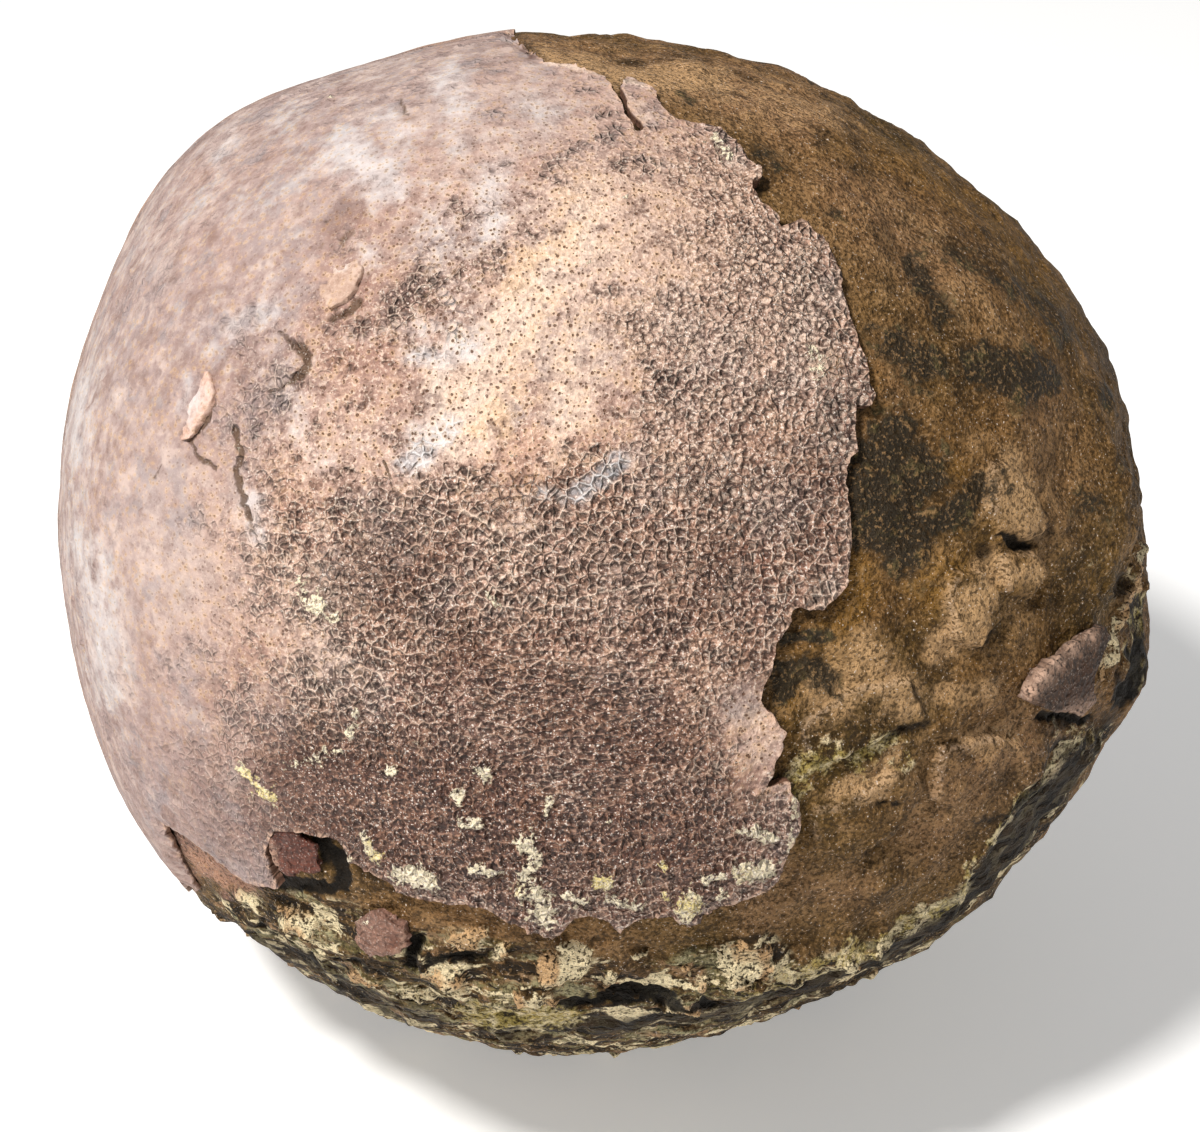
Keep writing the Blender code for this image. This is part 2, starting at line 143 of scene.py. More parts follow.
# Lumps and hollows: place in the front sketch (mm), half width, height; then the same behind, with
# azimuth and elevation for a place.
LUMPS = (
    (76, -20, 5.0, 2.2), (74, 4, 6.0, 1.4), (-4, -58.5, 4.0, 1.1), (20, -59.5, 4.5, 1.2),
    (11, -66, 4.0, 1.0), (-49, -57, 6.0, 1.0), (60, 30, 9.0, 0.9), (48, 44, 8.0, -0.8),
    (66, -8, 5.0, -1.2), (47, -13, 5.0, -0.8), (34, -15, 4.5, -0.6), (40, 4, 6.0, -0.6),
    (54, -24, 5.0, 0.9), (68, 12, 6.0, -0.9), (43, -50, 7.0, 0.8), (30, -55, 5.0, -0.7),
)
REAR_LUMPS = (
    (40, 5, 10.0, 1.4), (60, 40, 9.0, -1.0), (25, 30, 9.0, 1.0), (75, -5, 8.0, 1.2),
    (55, -35, 9.0, 1.3), (100, -28, 8.0, -1.1), (10, -20, 8.0, 1.2), (120, -45, 8.0, 1.2),
    (80, 12, 7.0, -0.9), (30, -8, 8.0, -1.2), (48, 58, 8.0, 0.9),
)
# Round pits: place in the front sketch (mm), radius.
PITS = ((-26.5, -57.5, 1.7), (73, -6, 1.8), (55.5, -1.6, 1.3), (66, -25.5, 1.4))

# ---- markings of the eggshell: path in the front sketch, half width (mm), strength -------------
OCHRE = (
    (((470, 425), (500, 350), (535, 290), (590, 215)), 7.0, 1.0),
    (((560, 460), (580, 400), (580, 320), (600, 240)), 5.0, 0.7), (((300, 455),), 7.0, 0.55),
    (((745, 725), (770, 765)), 5.5, 0.55), (((640, 190), (690, 230)), 7.0, 0.5), (((820, 365),), 3.2, 1.0),
    (((475, 480), (530, 520)), 5.0, 0.4), (((150, 600),), 9.0, 0.4), (((640, 105),), 2.2, 0.7),
    (((330, 170),), 5.0, 0.3),
)
YELLOW = (
    (((505, 285), (525, 265), (560, 230)), 3.0, 1.0), (((470, 425), (490, 405), (500, 420)), 2.6, 1.0),
    (((545, 300), (535, 350), (520, 400)), 4.0, 0.6), (((575, 330), (560, 390)), 3.0, 0.5),
    (((560, 205), (600, 190)), 3.0, 0.6), (((120, 560),), 3.0, 0.7),
)
HAZE = (
    (((350, 150), (365, 172), (385, 180)), 4.5, 1.0), (((395, 120), (405, 150)), 3.5, 0.8),
    (((440, 85), (455, 80), (460, 110)), 3.5, 0.9), (((485, 200), (500, 165), (490, 230)), 3.0, 0.8),
    (((440, 215), (455, 200)), 3.0, 0.6), (((415, 355), (440, 358), (470, 350)), 2.6, 0.9),
    (((415, 210), (430, 270), (470, 330)), 3.0, 0.45), (((575, 495), (600, 478), (618, 462)), 1.6, 0.7),
    (((230, 330), (270, 305)), 3.0, 0.8), (((280, 440), (310, 500), (330, 560)), 4.0, 0.4),
    (((120, 250), (200, 200), (300, 180)), 7.0, 0.4), (((290, 400), (300, 440), (330, 465)), 3.0, 0.65),
    (((80, 540), (95, 600), (110, 690)), 3.4, 0.9), (((75, 380), (80, 450)), 3.4, 0.8),
    (((255, 500), (260, 540)), 2.2, 0.8), (((420, 430), (425, 455), (405, 462)), 2.6, 0.7),
    (((520, 120), (560, 100)), 6.0, 0.45), (((300, 110), (380, 90), (450, 150)), 11.0, 0.42),
    (((230, 140), (215, 160)), 3.0, 0.6), (((545, 495), (575, 500)), 2.2, 0.5),
    (((150, 110), (200, 90)), 5.0, 0.45), (((190, 380), (186, 410)), 1.6, 0.8),
    (((350, 240), (370, 250)), 2.4, 0.6), (((355, 330), (400, 320), (430, 330)), 3.2, 0.5),
    (((200, 330), (260, 340), (320, 440)), 8.0, 0.35), (((100, 330), (70, 480), (90, 640)), 6.0, 0.45),
    (((400, 560), (380, 520)), 4.0, 0.35), (((500, 100), (470, 250)), 8.0, 0.3),
)
SLATE = (
    (((720, 350), (735, 375)), 5.0, 0.8), (((770, 515), (795, 495)), 5.0, 0.8), (((735, 700),), 4.0, 0.9),
    (((460, 290), (470, 330)), 4.5, 0.7), (((520, 300), (480, 260)), 3.0, 0.4),
    (((370, 570), (400, 540)), 6.0, 0.6), (((620, 360),), 3.5, 0.4), (((700, 375),), 3.0, 0.5),
    (((440, 245), (480, 240)), 4.5, 0.6), (((470, 560), (520, 540)), 6.0, 0.45),
    (((95, 520), (90, 480)), 4.0, 0.5), (((620, 800), (640, 840)), 6.0, 0.3),
    (((330, 130), (380, 110)), 5.0, 0.5), (((540, 170), (520, 200)), 4.0, 0.5), (((270, 620),), 5.0, 0.4),
)
# Plum staining; over the lower shell its marks are painted shade as well.
PLUM = (
    (((370, 575), (420, 560)), 7.0, 0.7), (((330, 790), (400, 810), (470, 800), (520, 840)), 9.0, 1.1),
    (((640, 640), (700, 600)), 6.0, 0.5), (((560, 700), (640, 730)), 9.0, 0.55),
    (((800, 450), (790, 500)), 5.0, 0.5), (((460, 650), (520, 690)), 8.0, 0.5),
    (((600, 830), (700, 850)), 8.0, 0.6), (((820, 560), (820, 470)), 4.0, 0.5),
    (((240, 830), (200, 780)), 6.0, 0.4), (((720, 560), (700, 590)), 3.5, 0.8),
    (((500, 505), (560, 480)), 4.0, 0.5), (((620, 560), (560, 620)), 7.0, 0.35),
    (((740, 600), (760, 660)), 5.0, 0.5), (((330, 230), (345, 215)), 2.6, 0.7), (((660, 860),), 3.0, 0.9),
    (((575, 885),), 1.5, 1.0), (((405, 110),), 1.2, 0.8), (((530, 48),), 0.9, 1.0),
)
RUST = (
    (((720, 800), (760, 780)), 6.0, 0.6), (((740, 560), (780, 590)), 4.5, 0.7), (((350, 232),), 2.0, 0.8),
    (((250, 700), (270, 650)), 6.0, 0.35), (((660, 540), (700, 620)), 6.0, 0.35),
    (((640, 690), (660, 780)), 6.0, 0.35), (((230, 230), (240, 200)), 8.0, 0.35), (((480, 210),), 4.0, 0.4),
    (((590, 900), (660, 900)), 3.5, 0.5), (((420, 880), (470, 890)), 3.5, 0.5),
    (((160, 640), (190, 700)), 7.0, 0.3), (((450, 180),), 4.0, 0.3),
)
# Pale worn shell; the wide mark round (590, 260) is a painted pool of light.
PALE = (
    (((130, 540), (170, 610), (190, 560)), 8.0, 0.8), (((590, 260),), 18.0, 0.8), (((235, 140),), 2.5, 0.9),
    (((160, 270),), 3.0, 0.8), (((375, 70), (400, 60)), 3.2, 0.7), (((300, 600), (330, 670)), 7.0, 0.6),
    (((680, 340),), 2.0, 0.8), (((220, 520), (230, 600)), 7.0, 0.5), (((700, 250), (780, 320)), 11.0, 0.4),
    (((745, 725), (765, 760)), 6.0, 0.6), (((470, 470), (440, 440)), 8.0, 0.5),
    (((540, 560), (620, 600)), 9.0, 0.3), (((540, 120), (480, 120)), 9.0, 0.4),
    (((840, 590), (830, 600)), 2.0, 0.7), (((725, 145), (735, 160)), 2.2, 0.8),
    (((120, 420), (150, 480)), 8.0, 0.5), (((350, 430), (400, 480)), 9.0, 0.4), (((640, 170),), 8.0, 0.4),
)
# Where the surface has open pores, dark-lined cobbles and worm-like ripples; the rest is dimpled.
PORE_ZONE = (
    (((500, 330), (560, 260), (620, 220)), 13.0, 1.0), (((500, 430),), 14.0, 1.0),
    (((590, 400), (570, 330)), 10.0, 1.0), (((330, 450), (380, 400)), 16.0, 0.8),
    (((300, 250), (420, 150), (560, 120)), 24.0, 0.8), (((745, 725), (765, 760)), 7.0, 0.9),
    (((130, 400), (150, 600)), 26.0, 0.8), (((830, 365),), 3.5, 0.8), (((670, 170), (640, 130)), 9.0, 0.5),
)
COBBLE_ZONE = (
    (((770, 255), (790, 300)), 6.5, 1.0), (((845, 370), (848, 440)), 4.5, 1.0),
    (((690, 480), (740, 500), (770, 490)), 5.5, 1.0), (((700, 575), (725, 585)), 4.0, 1.0),
    (((540, 500), (510, 510)), 4.5, 0.8), (((660, 330), (690, 345)), 5.0, 0.7), (((720, 540),), 5.0, 0.7),
    (((800, 345),), 5.0, 0.7), (((370, 560), (330, 600)), 7.0, 0.7), (((420, 440),), 3.0, 0.8),
    (((455, 290), (460, 330)), 4.0, 0.7), (((810, 590),), 4.0, 0.6),
)
RIPPLE_ZONE = (
    (((520, 700), (560, 760), (620, 760)), 9.0, 1.0), (((560, 690), (640, 690)), 8.0, 0.8),
    (((300, 780), (420, 800)), 8.0, 0.5),
)
# Small close-set grains, a white net over some hollows, and brown dirt in cracks and pits, with painted
# shadow along the edges of the hollow and the flakes.
GRANULE_ZONE = (
    (((640, 240), (720, 230), (760, 280)), 11.0, 1.0), (((640, 330), (730, 330), (800, 350)), 10.0, 1.0),
    (((640, 420), (720, 440), (800, 430)), 9.0, 0.8), (((700, 160), (720, 200)), 6.0, 0.9),
    (((580, 180), (640, 160)), 6.0, 0.6), (((700, 690), (760, 640)), 6.0, 0.5),
)
NET_ZONE = (
    (((575, 495), (600, 478), (618, 462)), 2.0, 1.0), (((410, 462), (440, 440), (452, 425)), 2.4, 0.9),
    (((415, 355), (440, 358), (470, 350)), 2.0, 0.6), (((380, 560), (420, 540)), 3.0, 0.35),
    (((545, 495), (575, 500)), 2.0, 0.6), (((455, 205), (470, 240)), 3.0, 0.4),
)
DIRT_AND_SHADE = (
    (((280, 334), (298, 346)), 0.6, 0.8), (((298, 346), (307, 357), (303, 370), (292, 380)), 0.9, 1.1),
    (((292, 380), (270, 392)), 0.6, 0.7), (((215, 392), (213, 410), (205, 425), (190, 440)), 0.55, 1.0),
    (((190, 440), (195, 455), (215, 468)), 0.35, 0.8),
    (((235, 430), (240, 450), (236, 470), (240, 490), (250, 520)), 0.5, 1.0),
    (((250, 520), (262, 560), (266, 600)), 0.3, 0.6),
    (((358, 300), (352, 310), (342, 315), (330, 318)), 0.6, 1.0), (((350, 232), (345, 240)), 1.1, 0.7),
    (((326, 222),), 0.7, 0.7), (((322, 245),), 0.8, 0.6), (((400, 100), (405, 114)), 0.6, 0.7),
    (((530, 48),), 0.8, 1.0), (((625, 78), (640, 82)), 0.5, 0.7),
    (((560, 66), (600, 74), (650, 86)), 0.4, 0.5), (((412, 232), (418, 240)), 0.8, 0.5),
    (((405, 250),), 0.6, 0.5), (((385, 462), (392, 490)), 0.25, 0.8), (((398, 480), (430, 452)), 0.22, 0.7),
    (((480, 265), (505, 264)), 0.3, 0.7), (((150, 485), (165, 460)), 0.3, 0.6),
    (((75, 470), (85, 500)), 1.2, 0.35), (((210, 380), (232, 352)), 0.35, 0.5),
)
# Thin pale veins and scratches.
VEINS = (
    (((730, 320), (775, 297), (820, 280)), 0.28, 0.8),
    (((600, 420), (690, 395), (775, 392), (860, 385)), 0.28, 0.8), (((690, 395), (695, 460)), 0.25, 0.7),
    (((800, 395), (802, 465)), 0.25, 0.7), (((540, 612), (600, 592), (660, 583)), 0.28, 0.9),
    (((460, 510), (480, 518), (505, 535)), 0.4, 1.0), (((740, 510), (800, 503)), 0.25, 0.6),
    (((350, 740), (357, 710)), 0.5, 0.9), (((545, 62), (600, 74), (650, 88)), 0.5, 0.8),
    (((580, 700), (583, 770)), 0.25, 0.5), (((380, 430), (385, 640)), 0.22, 0.35),
    (((430, 800), (432, 880)), 0.25, 0.4), (((640, 250), (700, 235)), 0.25, 0.4),
)
# Raised mineral crust on the eggshell.
CRUST = (
    (((305, 597), (318, 606)), 1.7, 1.0), (((335, 620),), 1.1, 0.9), (((300, 578),), 0.8, 0.8),
    (((488, 593), (496, 604)), 0.7, 0.9), (((385, 768), (394, 772)), 0.9, 0.9),
    (((478, 768), (486, 772)), 1.3, 0.9), (((455, 792), (458, 800)), 0.9, 0.9),
    (((460, 820), (480, 825)), 1.0, 0.9), (((528, 845), (535, 860), (524, 872)), 1.5, 1.0),
    (((366, 836), (372, 850), (380, 856)), 1.2, 1.0), (((400, 872), (425, 876), (432, 884)), 1.7, 1.0),
    (((540, 905), (530, 890), (548, 915)), 2.4, 0.9), (((598, 879), (606, 882)), 1.4, 1.0),
    (((664, 868),), 0.9, 0.9), (((690, 900), (684, 912)), 2.0, 1.0), (((740, 872), (765, 868)), 1.9, 1.1),
    (((742, 829), (775, 838)), 0.9, 1.0), (((668, 897),), 1.0, 0.9), (((290, 763), (340, 752)), 1.2, 0.8),
    (((245, 770), (275, 795)), 1.3, 0.9), (((350, 735), (356, 712)), 0.8, 0.9),
    (((640, 905), (610, 900)), 1.0, 0.7), (((790, 850), (796, 800)), 0.9, 0.7), (((720, 895),), 1.2, 0.8),
    (((575, 905),), 1.0, 0.7), (((500, 865),), 0.9, 0.7), (((330, 100),), 1.0, 0.6),
    (((590, 265),), 0.9, 0.7), (((470, 868), (500, 872)), 0.8, 0.9), (((565, 893), (585, 899)), 0.8, 0.9),
    (((705, 880), (722, 874)), 0.9, 0.9), (((352, 858),), 0.9, 0.9), (((640, 880),), 0.6, 0.9),
    (((552, 800), (548, 812)), 0.6, 0.8), (((610, 820),), 0.6, 0.8), (((700, 840),), 0.6, 0.8),
    (((420, 740),), 0.6, 0.8), (((438, 700),), 0.5, 0.8), (((522, 225),), 0.6, 0.8),
    (((628, 200),), 0.8, 0.7), (((716, 142), (728, 155)), 1.2, 0.9),
    (((812, 352), (826, 362), (818, 380)), 1.5, 0.7),
)
# Bright yellow crust, one kind of the above.
SULPHUR = (
    (((600, 880),), 2.2, 1.0), (((690, 905), (668, 897)), 2.6, 0.8), (((664, 868),), 1.6, 1.0),
    (((250, 775), (275, 795)), 2.4, 0.7), (((378, 852),), 2.2, 0.8), (((745, 872),), 2.2, 0.5),
    (((520, 890),), 2.0, 0.5),
)
# Parts of the broken rim that curl up a little, or are worn down: place, reach and height (mm).
CURLS = (
    ((725, 150), 4.0, 0.7), ((760, 178), 2.5, 0.6), ((838, 600), 4.5, 0.35), ((868, 400), 2.0, 0.3),
    ((560, 925), 4.0, 0.3), ((780, 735), 3.0, 0.3), ((172, 850), 6.0, -0.95), ((190, 885), 5.0, -0.95),
    ((515, 31), 5.0, -0.9),
)

# Loose bits: node, slot, side that is raised (degrees in the sketch), heights of the sunk side, the
# underside and the raised side (mm above what it lies on), two colours, and its own marks.
BITS = (
    ("shell_chip_lower_left", "chip", 200, -0.45, -1.6, 0.0, tint(70, 38, 28), tint(118, 66, 48), (
        ("rust", (300, 855), 6.0, 0.9), ("plum", (310, 870), 3.0, 0.7), ("haze", (285, 842), 1.2, 0.5),
    )),
    ("shell_flake_left", "flake_pale", -15, -0.2, -0.6, 0.9, tint(190, 152, 134), tint(214, 184, 168), (
        ("haze", (188, 395), 2.4, 1.6), ("haze", (184, 415), 1.8, 1.3), ("ochre", (205, 405), 2.2, 0.8),
        ("dirt_and_shade", (215, 415), 0.5, 0.9),
    )),
    ("shell_flake_upper", "flake_buff", -50, -0.25, -0.6, 0.75, tint(176, 144, 126), tint(200, 172, 154), (
        ("haze", (340, 262), 1.8, 1.0), ("ochre", (355, 262), 2.2, 0.9), ("dirt_and_shade", (345, 310), 0.7, 1.0),
    )),
    ("shell_fragment_rim", "rim_bit", -30, 1.0, 0.1, 2.0, tint(104, 74, 60), tint(150, 112, 94), (
        ("ochre", (366, 922), 1.7, 1.1), ("crust", (362, 920), 1.2, 0.6), ("plum", (398, 945), 2.4, 1.0),
        ("rust", (400, 950), 2.0, 0.8),
    )),
    # the wedge's pale upper-left edge: worn, with a painted highlight
    ("shell_fragment_right", "wedge", -60, 1.4, 0.1, 2.3, tint(40, 26, 14), tint(84, 57, 35), (
        ("rust", (1070, 690), 6.0, 0.6), ("plum", (1090, 690), 6.0, 0.7), ("lip_wear_and_highlight", (1030, 690), 1.3, 1.0),
        ("lip_wear_and_highlight", (1042, 676), 1.4, 1.0), ("lip_wear_and_highlight", (1055, 662), 1.3, 0.9), ("lip_wear_and_highlight", (1072, 648), 1.2, 0.8),
        ("lip_wear_and_highlight", (1090, 636), 1.0, 0.7),
    )),
)
# Voxel of a bit (metres), and the larger one of the largest bit.
BIT_VOXEL = 0.00022
LARGE_BIT = "shell_fragment_right"
LARGE_BIT_VOXEL = 0.0003
# The chip is drawn a little larger than its plate and moved toward the rim of its hole (mm).
CHIP = "shell_chip_lower_left"
CHIP_GROWTH = 1.22
CHIP_MOVE = 1.5
CHIP_WAY = (-1.0, -0.3, 0.5)
# Bits whose outline is more crooked than the others'.
CROOKED_BITS = ("shell_fragment_rim", "shell_chip_lower_left")
CROOKED = 1.7

# ---- markings of the bare sediment, in the same form --------------------------------------------
STAIN = (
    (((870, 450), (900, 440), (920, 470), (880, 510), (910, 545)), 5.5, 1.0),
    (((935, 530), (965, 505), (985, 485)), 2.6, 1.0), (((980, 360), (1010, 385), (1030, 380)), 3.8, 1.0),
    (((990, 375),), 2.4, 1.0), (((895, 345), (930, 370)), 3.0, 0.8),
    (((915, 250), (930, 290), (945, 320)), 2.6, 0.8), (((790, 690), (815, 680), (835, 685)), 2.4, 1.1),
    (((800, 645), (835, 642)), 1.6, 0.9), (((955, 250), (1000, 280), (1060, 330)), 3.0, 0.6),
    (((770, 145), (785, 155)), 2.4, 0.6), (((690, 80),), 2.2, 0.6), (((835, 205),), 2.2, 0.6),
    (((1095, 400),), 2.6, 0.8), (((1080, 510),), 3.0, 0.6), (((870, 330),), 2.2, 0.6),
    (((925, 225),), 2.2, 0.4), (((840, 150),), 3.0, 0.3), (((1010, 300),), 3.2, 0.5),
    (((1105, 480),), 2.2, 0.5), (((760, 770),), 1.4, 0.4),
)
MUSTARD = (
    (((460, 1020), (520, 1035), (600, 1030)), 5.0, 1.1), (((850, 575), (870, 590)), 2.0, 1.2),
    (((800, 700), (805, 720)), 1.6, 1.1), (((855, 560), (870, 600), (850, 650), (800, 700)), 3.6, 1.0),
    (((930, 590), (960, 560)), 3.4, 0.8), (((1000, 530), (1000, 555)), 2.4, 1.0),
    (((880, 440), (870, 380)), 3.2, 0.7), (((850, 130), (960, 170), (1060, 260)), 5.5, 0.7),
    (((880, 150), (900, 160)), 3.0, 0.7), (((870, 420),), 3.0, 0.6), (((960, 470),), 2.6, 0.7),
    (((1005, 590),), 1.8, 0.8), (((940, 560),), 3.0, 0.8), (((800, 690), (790, 740)), 2.8, 0.8),
    (((855, 600),), 4.0, 0.8), (((1095, 560), (1080, 600)), 3.0, 0.6),
    (((1010, 230), (1040, 260)), 3.6, 0.5), (((830, 625),), 2.6, 0.9), (((975, 410),), 2.2, 0.5),
)
LICHEN = (
    (((800, 800), (815, 770), (840, 765)), 2.8, 1.0), (((868, 768), (880, 750), (900, 745)), 2.4, 1.0),
    (((1015, 790), (985, 850), (965, 870), (955, 905)), 0.6, 1.0),
    (((955, 905), (900, 930), (870, 945), (800, 970)), 1.1, 1.0), (((1142, 590), (1130, 640)), 1.8, 0.8),
    (((1130, 660), (1142, 700)), 2.6, 0.9), (((1120, 560), (1135, 600)), 1.3, 0.7),
    (((1060, 720), (1100, 745)), 3.4, 0.6), (((905, 770), (915, 765)), 1.4, 0.8),
    (((1030, 735), (1000, 760)), 2.6, 0.4), (((470, 1028), (500, 1030), (560, 1030)), 4.5, 1.1),
    (((250, 915), (220, 890), (200, 870)), 4.0, 0.2), (((805, 780),), 3.0, 0.8), (((1085, 555),), 3.0, 0.5),
    (((1100, 600),), 2.0, 0.5), (((960, 900),), 2.0, 0.8), (((745, 990), (820, 975)), 3.0, 0.8),
)
PLATE = (
    (((1000, 470), (1015, 530)), 3.2, 0.9), (((960, 640), (975, 590), (990, 575)), 3.4, 1.0),
    (((1000, 580), (1030, 570)), 2.4, 0.8), (((830, 700), (880, 660), (910, 700)), 5.5, 0.7),
    (((840, 800), (875, 795), (900, 765)), 1.8, 0.9), (((945, 700), (1000, 690)), 3.0, 0.6),
    (((980, 745), (1020, 735)), 2.4, 0.7), (((840, 90), (780, 70)), 7.0, 0.5),
    (((900, 200), (980, 330)), 8.0, 0.35), (((530, 44), (620, 52), (720, 50)), 4.5, 0.8),
    (((1040, 430), (1045, 500)), 3.5, 0.4), (((1000, 760),), 3.2, 0.4),
    (((650, 950), (500, 950)), 3.0, 0.25), (((760, 60),), 4.0, 0.5),
)
# Pinkish brown stone.
ROSY = (
    (((500, 30), (600, 45), (700, 50), (800, 90)), 6.0, 1.0),
    (((330, 910), (400, 925), (480, 945), (560, 955), (640, 960)), 3.0, 0.3),
    (((930, 830), (990, 780), (1040, 740)), 6.0, 0.7), (((860, 900), (800, 900), (760, 920)), 5.0, 0.6),
    (((850, 180), (930, 260)), 7.0, 0.6), (((900, 340), (880, 420)), 5.0, 0.3),
    (((1040, 400), (1050, 520)), 5.0, 0.4), (((560, 1000), (640, 985)), 3.0, 0.6),
)
# Pinkish lumps and cream flecks of the crust under the shell's lower edge.
FLECKS = (
    (((385, 940),), 2.6, 1.0), (((565, 955), (580, 958)), 1.7, 1.0), (((735, 968), (760, 962)), 2.2, 1.0),
    (((675, 1010), (690, 1008)), 1.5, 1.0), (((745, 950),), 1.0, 0.9), (((455, 945), (475, 940)), 1.4, 1.0),
    (((500, 955),), 1.2, 0.9), (((545, 975), (575, 972)), 2.0, 0.9), (((430, 975), (460, 985)), 1.5, 0.8),
    (((610, 985),), 1.3, 0.8), (((520, 1000), (550, 1005)), 1.3, 0.8), (((700, 985),), 1.2, 0.8),
    (((800, 985),), 1.5, 0.8), (((640, 965),), 0.9, 0.8), (((690, 975),), 0.9, 0.8),
    (((1136, 548), (1130, 585), (1114, 618), (1105, 645), (1100, 678)), 0.75, 0.75),
    (((310, 930), (280, 920)), 1.8, 0.7), (((350, 985), (370, 990)), 1.6, 0.7),
    (((400, 1000), (420, 1010)), 1.4, 0.7), (((850, 960),), 1.4, 0.8), (((880, 945),), 1.2, 0.8),
)
# Where the sediment stands level with the edge of the shell: path, reach and height (mm).
BANKS = (
    (((512, 30), (530, 46), (560, 66), (620, 80)), 7.0, 1.25), (((165, 880), (200, 905)), 6.0, 1.1),
)
# The layered crust lies below this line, from the left round under the shell to the right.
BELT_TOP = (
    (60, 850), (165, 905), (215, 908), (238, 888), (330, 905), (400, 928), (480, 943), (560, 962),
    (640, 975), (700, 958), (760, 940), (800, 962), (870, 944), (950, 900), (985, 850), (1015, 800),
    (1060, 745), (1160, 700),
)
# Thin rose-grey film of dissolved shell on the stone.
VEIL = (
    (((165, 840), (185, 868), (215, 884), (238, 886)), 3.2, 1.1), (((270, 893), (300, 897)), 1.2, 0.4),
)
# Painted shade on the stone beyond the lower right ridge and along the bottom edge.
UNDERSIDE_SHADE = (
    (((1025, 820), (990, 880), (945, 935), (880, 975)), 3.0, 1.1),
    (((1125, 735), (1075, 800), (1020, 865), (965, 925), (900, 962), (820, 1000), (740, 1025)), 4.5, 1.0),
    (((1120, 720), (1140, 690)), 2.5, 0.8), (((1140, 600), (1128, 650), (1120, 690)), 1.2, 0.9),
    (((250, 960), (330, 1005), (420, 1035)), 2.5, 0.7), (((480, 1045), (640, 1045), (740, 1035)), 2.5, 0.9),
)
# Deep gaps, painted near-black as shade.
GAPS = (
    (((408, 950), (410, 965)), 1.1, 1.0), (((1050, 716), (1090, 720)), 0.8, 1.0),
    (((1000, 532), (1018, 540), (1035, 545)), 0.7, 0.9),
    (((560, 1010), (640, 1003), (720, 1008)), 0.9, 0.9), (((430, 960), (480, 965)), 0.8, 0.7),
    (((300, 960), (360, 968)), 0.9, 0.7), (((1110, 700), (1135, 640)), 1.2, 0.8), (((590, 945),), 0.7, 0.6),
    (((770, 1000), (840, 985)), 0.8, 0.8), (((300, 833), (322, 838), (345, 842)), 0.9, 1.0),
    (((312, 842), (322, 862), (335, 872), (337, 890)), 1.3, 1.0),
    (((335, 891), (305, 893), (275, 890)), 1.0, 1.0), (((985, 575),), 0.8, 0.6),
    (((905, 800), (880, 810)), 0.7, 0.6), (((250, 940), (300, 975)), 0.9, 0.7),
    (((660, 1022), (700, 1025)), 0.8, 0.7),
)


def heading(azimuth, elevation):
    a, e = math.radians(azimuth), math.radians(elevation)
    return np.array((math.cos(a) * math.cos(e), math.sin(a) * math.cos(e), math.sin(e)))


TO_EYE = np.array((0.0, -math.cos(SKETCH_TILT), math.sin(SKETCH_TILT)))
SKETCH_UP = np.array((0.0, math.sin(SKETCH_TILT), math.cos(SKETCH_TILT)))
SIDE_PLANES = tuple((heading(a, e), d) for a, e, d in SIDES)
# Middles of the charts for the rear and for the shell's inner face, how far round the front chart
# reaches, and how far off the rear chart is laid.
REAR_AXIS = heading(165, 5)
INNER_AXIS = heading(-150, 30)
FRONT_CHART = 0.27
REAR_CHART_PLACE = 400.0
# The surface is crisp round this place of the front sketch and soft far from it (mm).
FOCUS = np.array((18.0, -8.0))
CRISP_WITHIN = 58.0
SOFT_BEYOND = 86.0
# Every octave of the soft pattern is turned and shifted, so that its grid never shows.
TURN = np.array(Euler((0.7, 1.1, 0.4)).to_matrix())
OCTAVE_SHIFT = 31.7
CLOUD_GAIN = 1.6
# Numbers that mix a whole-numbered place and a seed into one number without a pattern.
PLACE_PRIMES = (73856093, 19349663, 83492791)
SEED_STEP = 7919
SEED_START = 17
MIXES = ((33, 0xFF51AFD7ED558CCD), (29, 0xC4CEB9FE1A85EC53), (32, 1))
WHOLE = 0xFFFFFFFF
SHOULDER_MARKS = tuple((heading(a, e), w, h) for a, e, w, h in SHOULDERS)


# ---- number work on many points at once ---------------------------------------------------------
def length(v):
    return np.sqrt((v * v).sum(axis=-1))


def unit(v):
    return v / length(v)[..., None]


def smooth(low, high, x):
    t = np.clip((x - low) / (high - low), 0.0, 1.0)
    return t * t * (3.0 - 2.0 * t)


def knoll(distance, width):
    t = np.minimum(1.0, distance / (2.0 * width))
    return (1.0 - t * t) ** 3


def scatter(cell, seed):
    """A number from 0 to 1 for each whole-numbered place, always the same one."""
    n = cell.astype(np.int64).astype(np.uint64)
    h = np.uint64(seed * SEED_STEP + SEED_START)
    for axis, prime in enumerate(PLACE_PRIMES):
        h = h ^ n[..., axis] * np.uint64(prime)
    for shift, factor in MIXES:
        h = (h ^ (h >> np.uint64(shift))) * np.uint64(factor)
    return ((h >> np.uint64(11)) & np.uint64(WHOLE)).astype(float) / WHOLE


def cloud(points, size, seed, octaves=3):
    """Soft uneven pattern from -1 to 1 whose largest patches are about `size` across."""
    total, share, out = 0.0, 1.0, np.zeros(len(points))
    turned = points
    for octave in range(octaves):
        turned = turned @ TURN
        p = turned / (size * 0.5 ** octave) + OCTAVE_SHIFT * octave
        base = np.floor(p)
        f = p - base
        f = f * f * f * (f * (f * 6 - 15) + 10)
        value = 0.0
        for dx in (0, 1):
            for dy in (0, 1):
                for dz in (0, 1):
                    corner = scatter(base + (dx, dy, dz), seed + octave)
                    weight = np.where(dx, f[:, 0], 1 - f[:, 0]) * np.where(dy, f[:, 1], 1 - f[:, 1])
                    value = value + corner * weight * np.where(dz, f[:, 2], 1 - f[:, 2])
        out += share * (value * 2 - 1)
        total += share
        share *= 0.5
    return out / total * CLOUD_GAIN


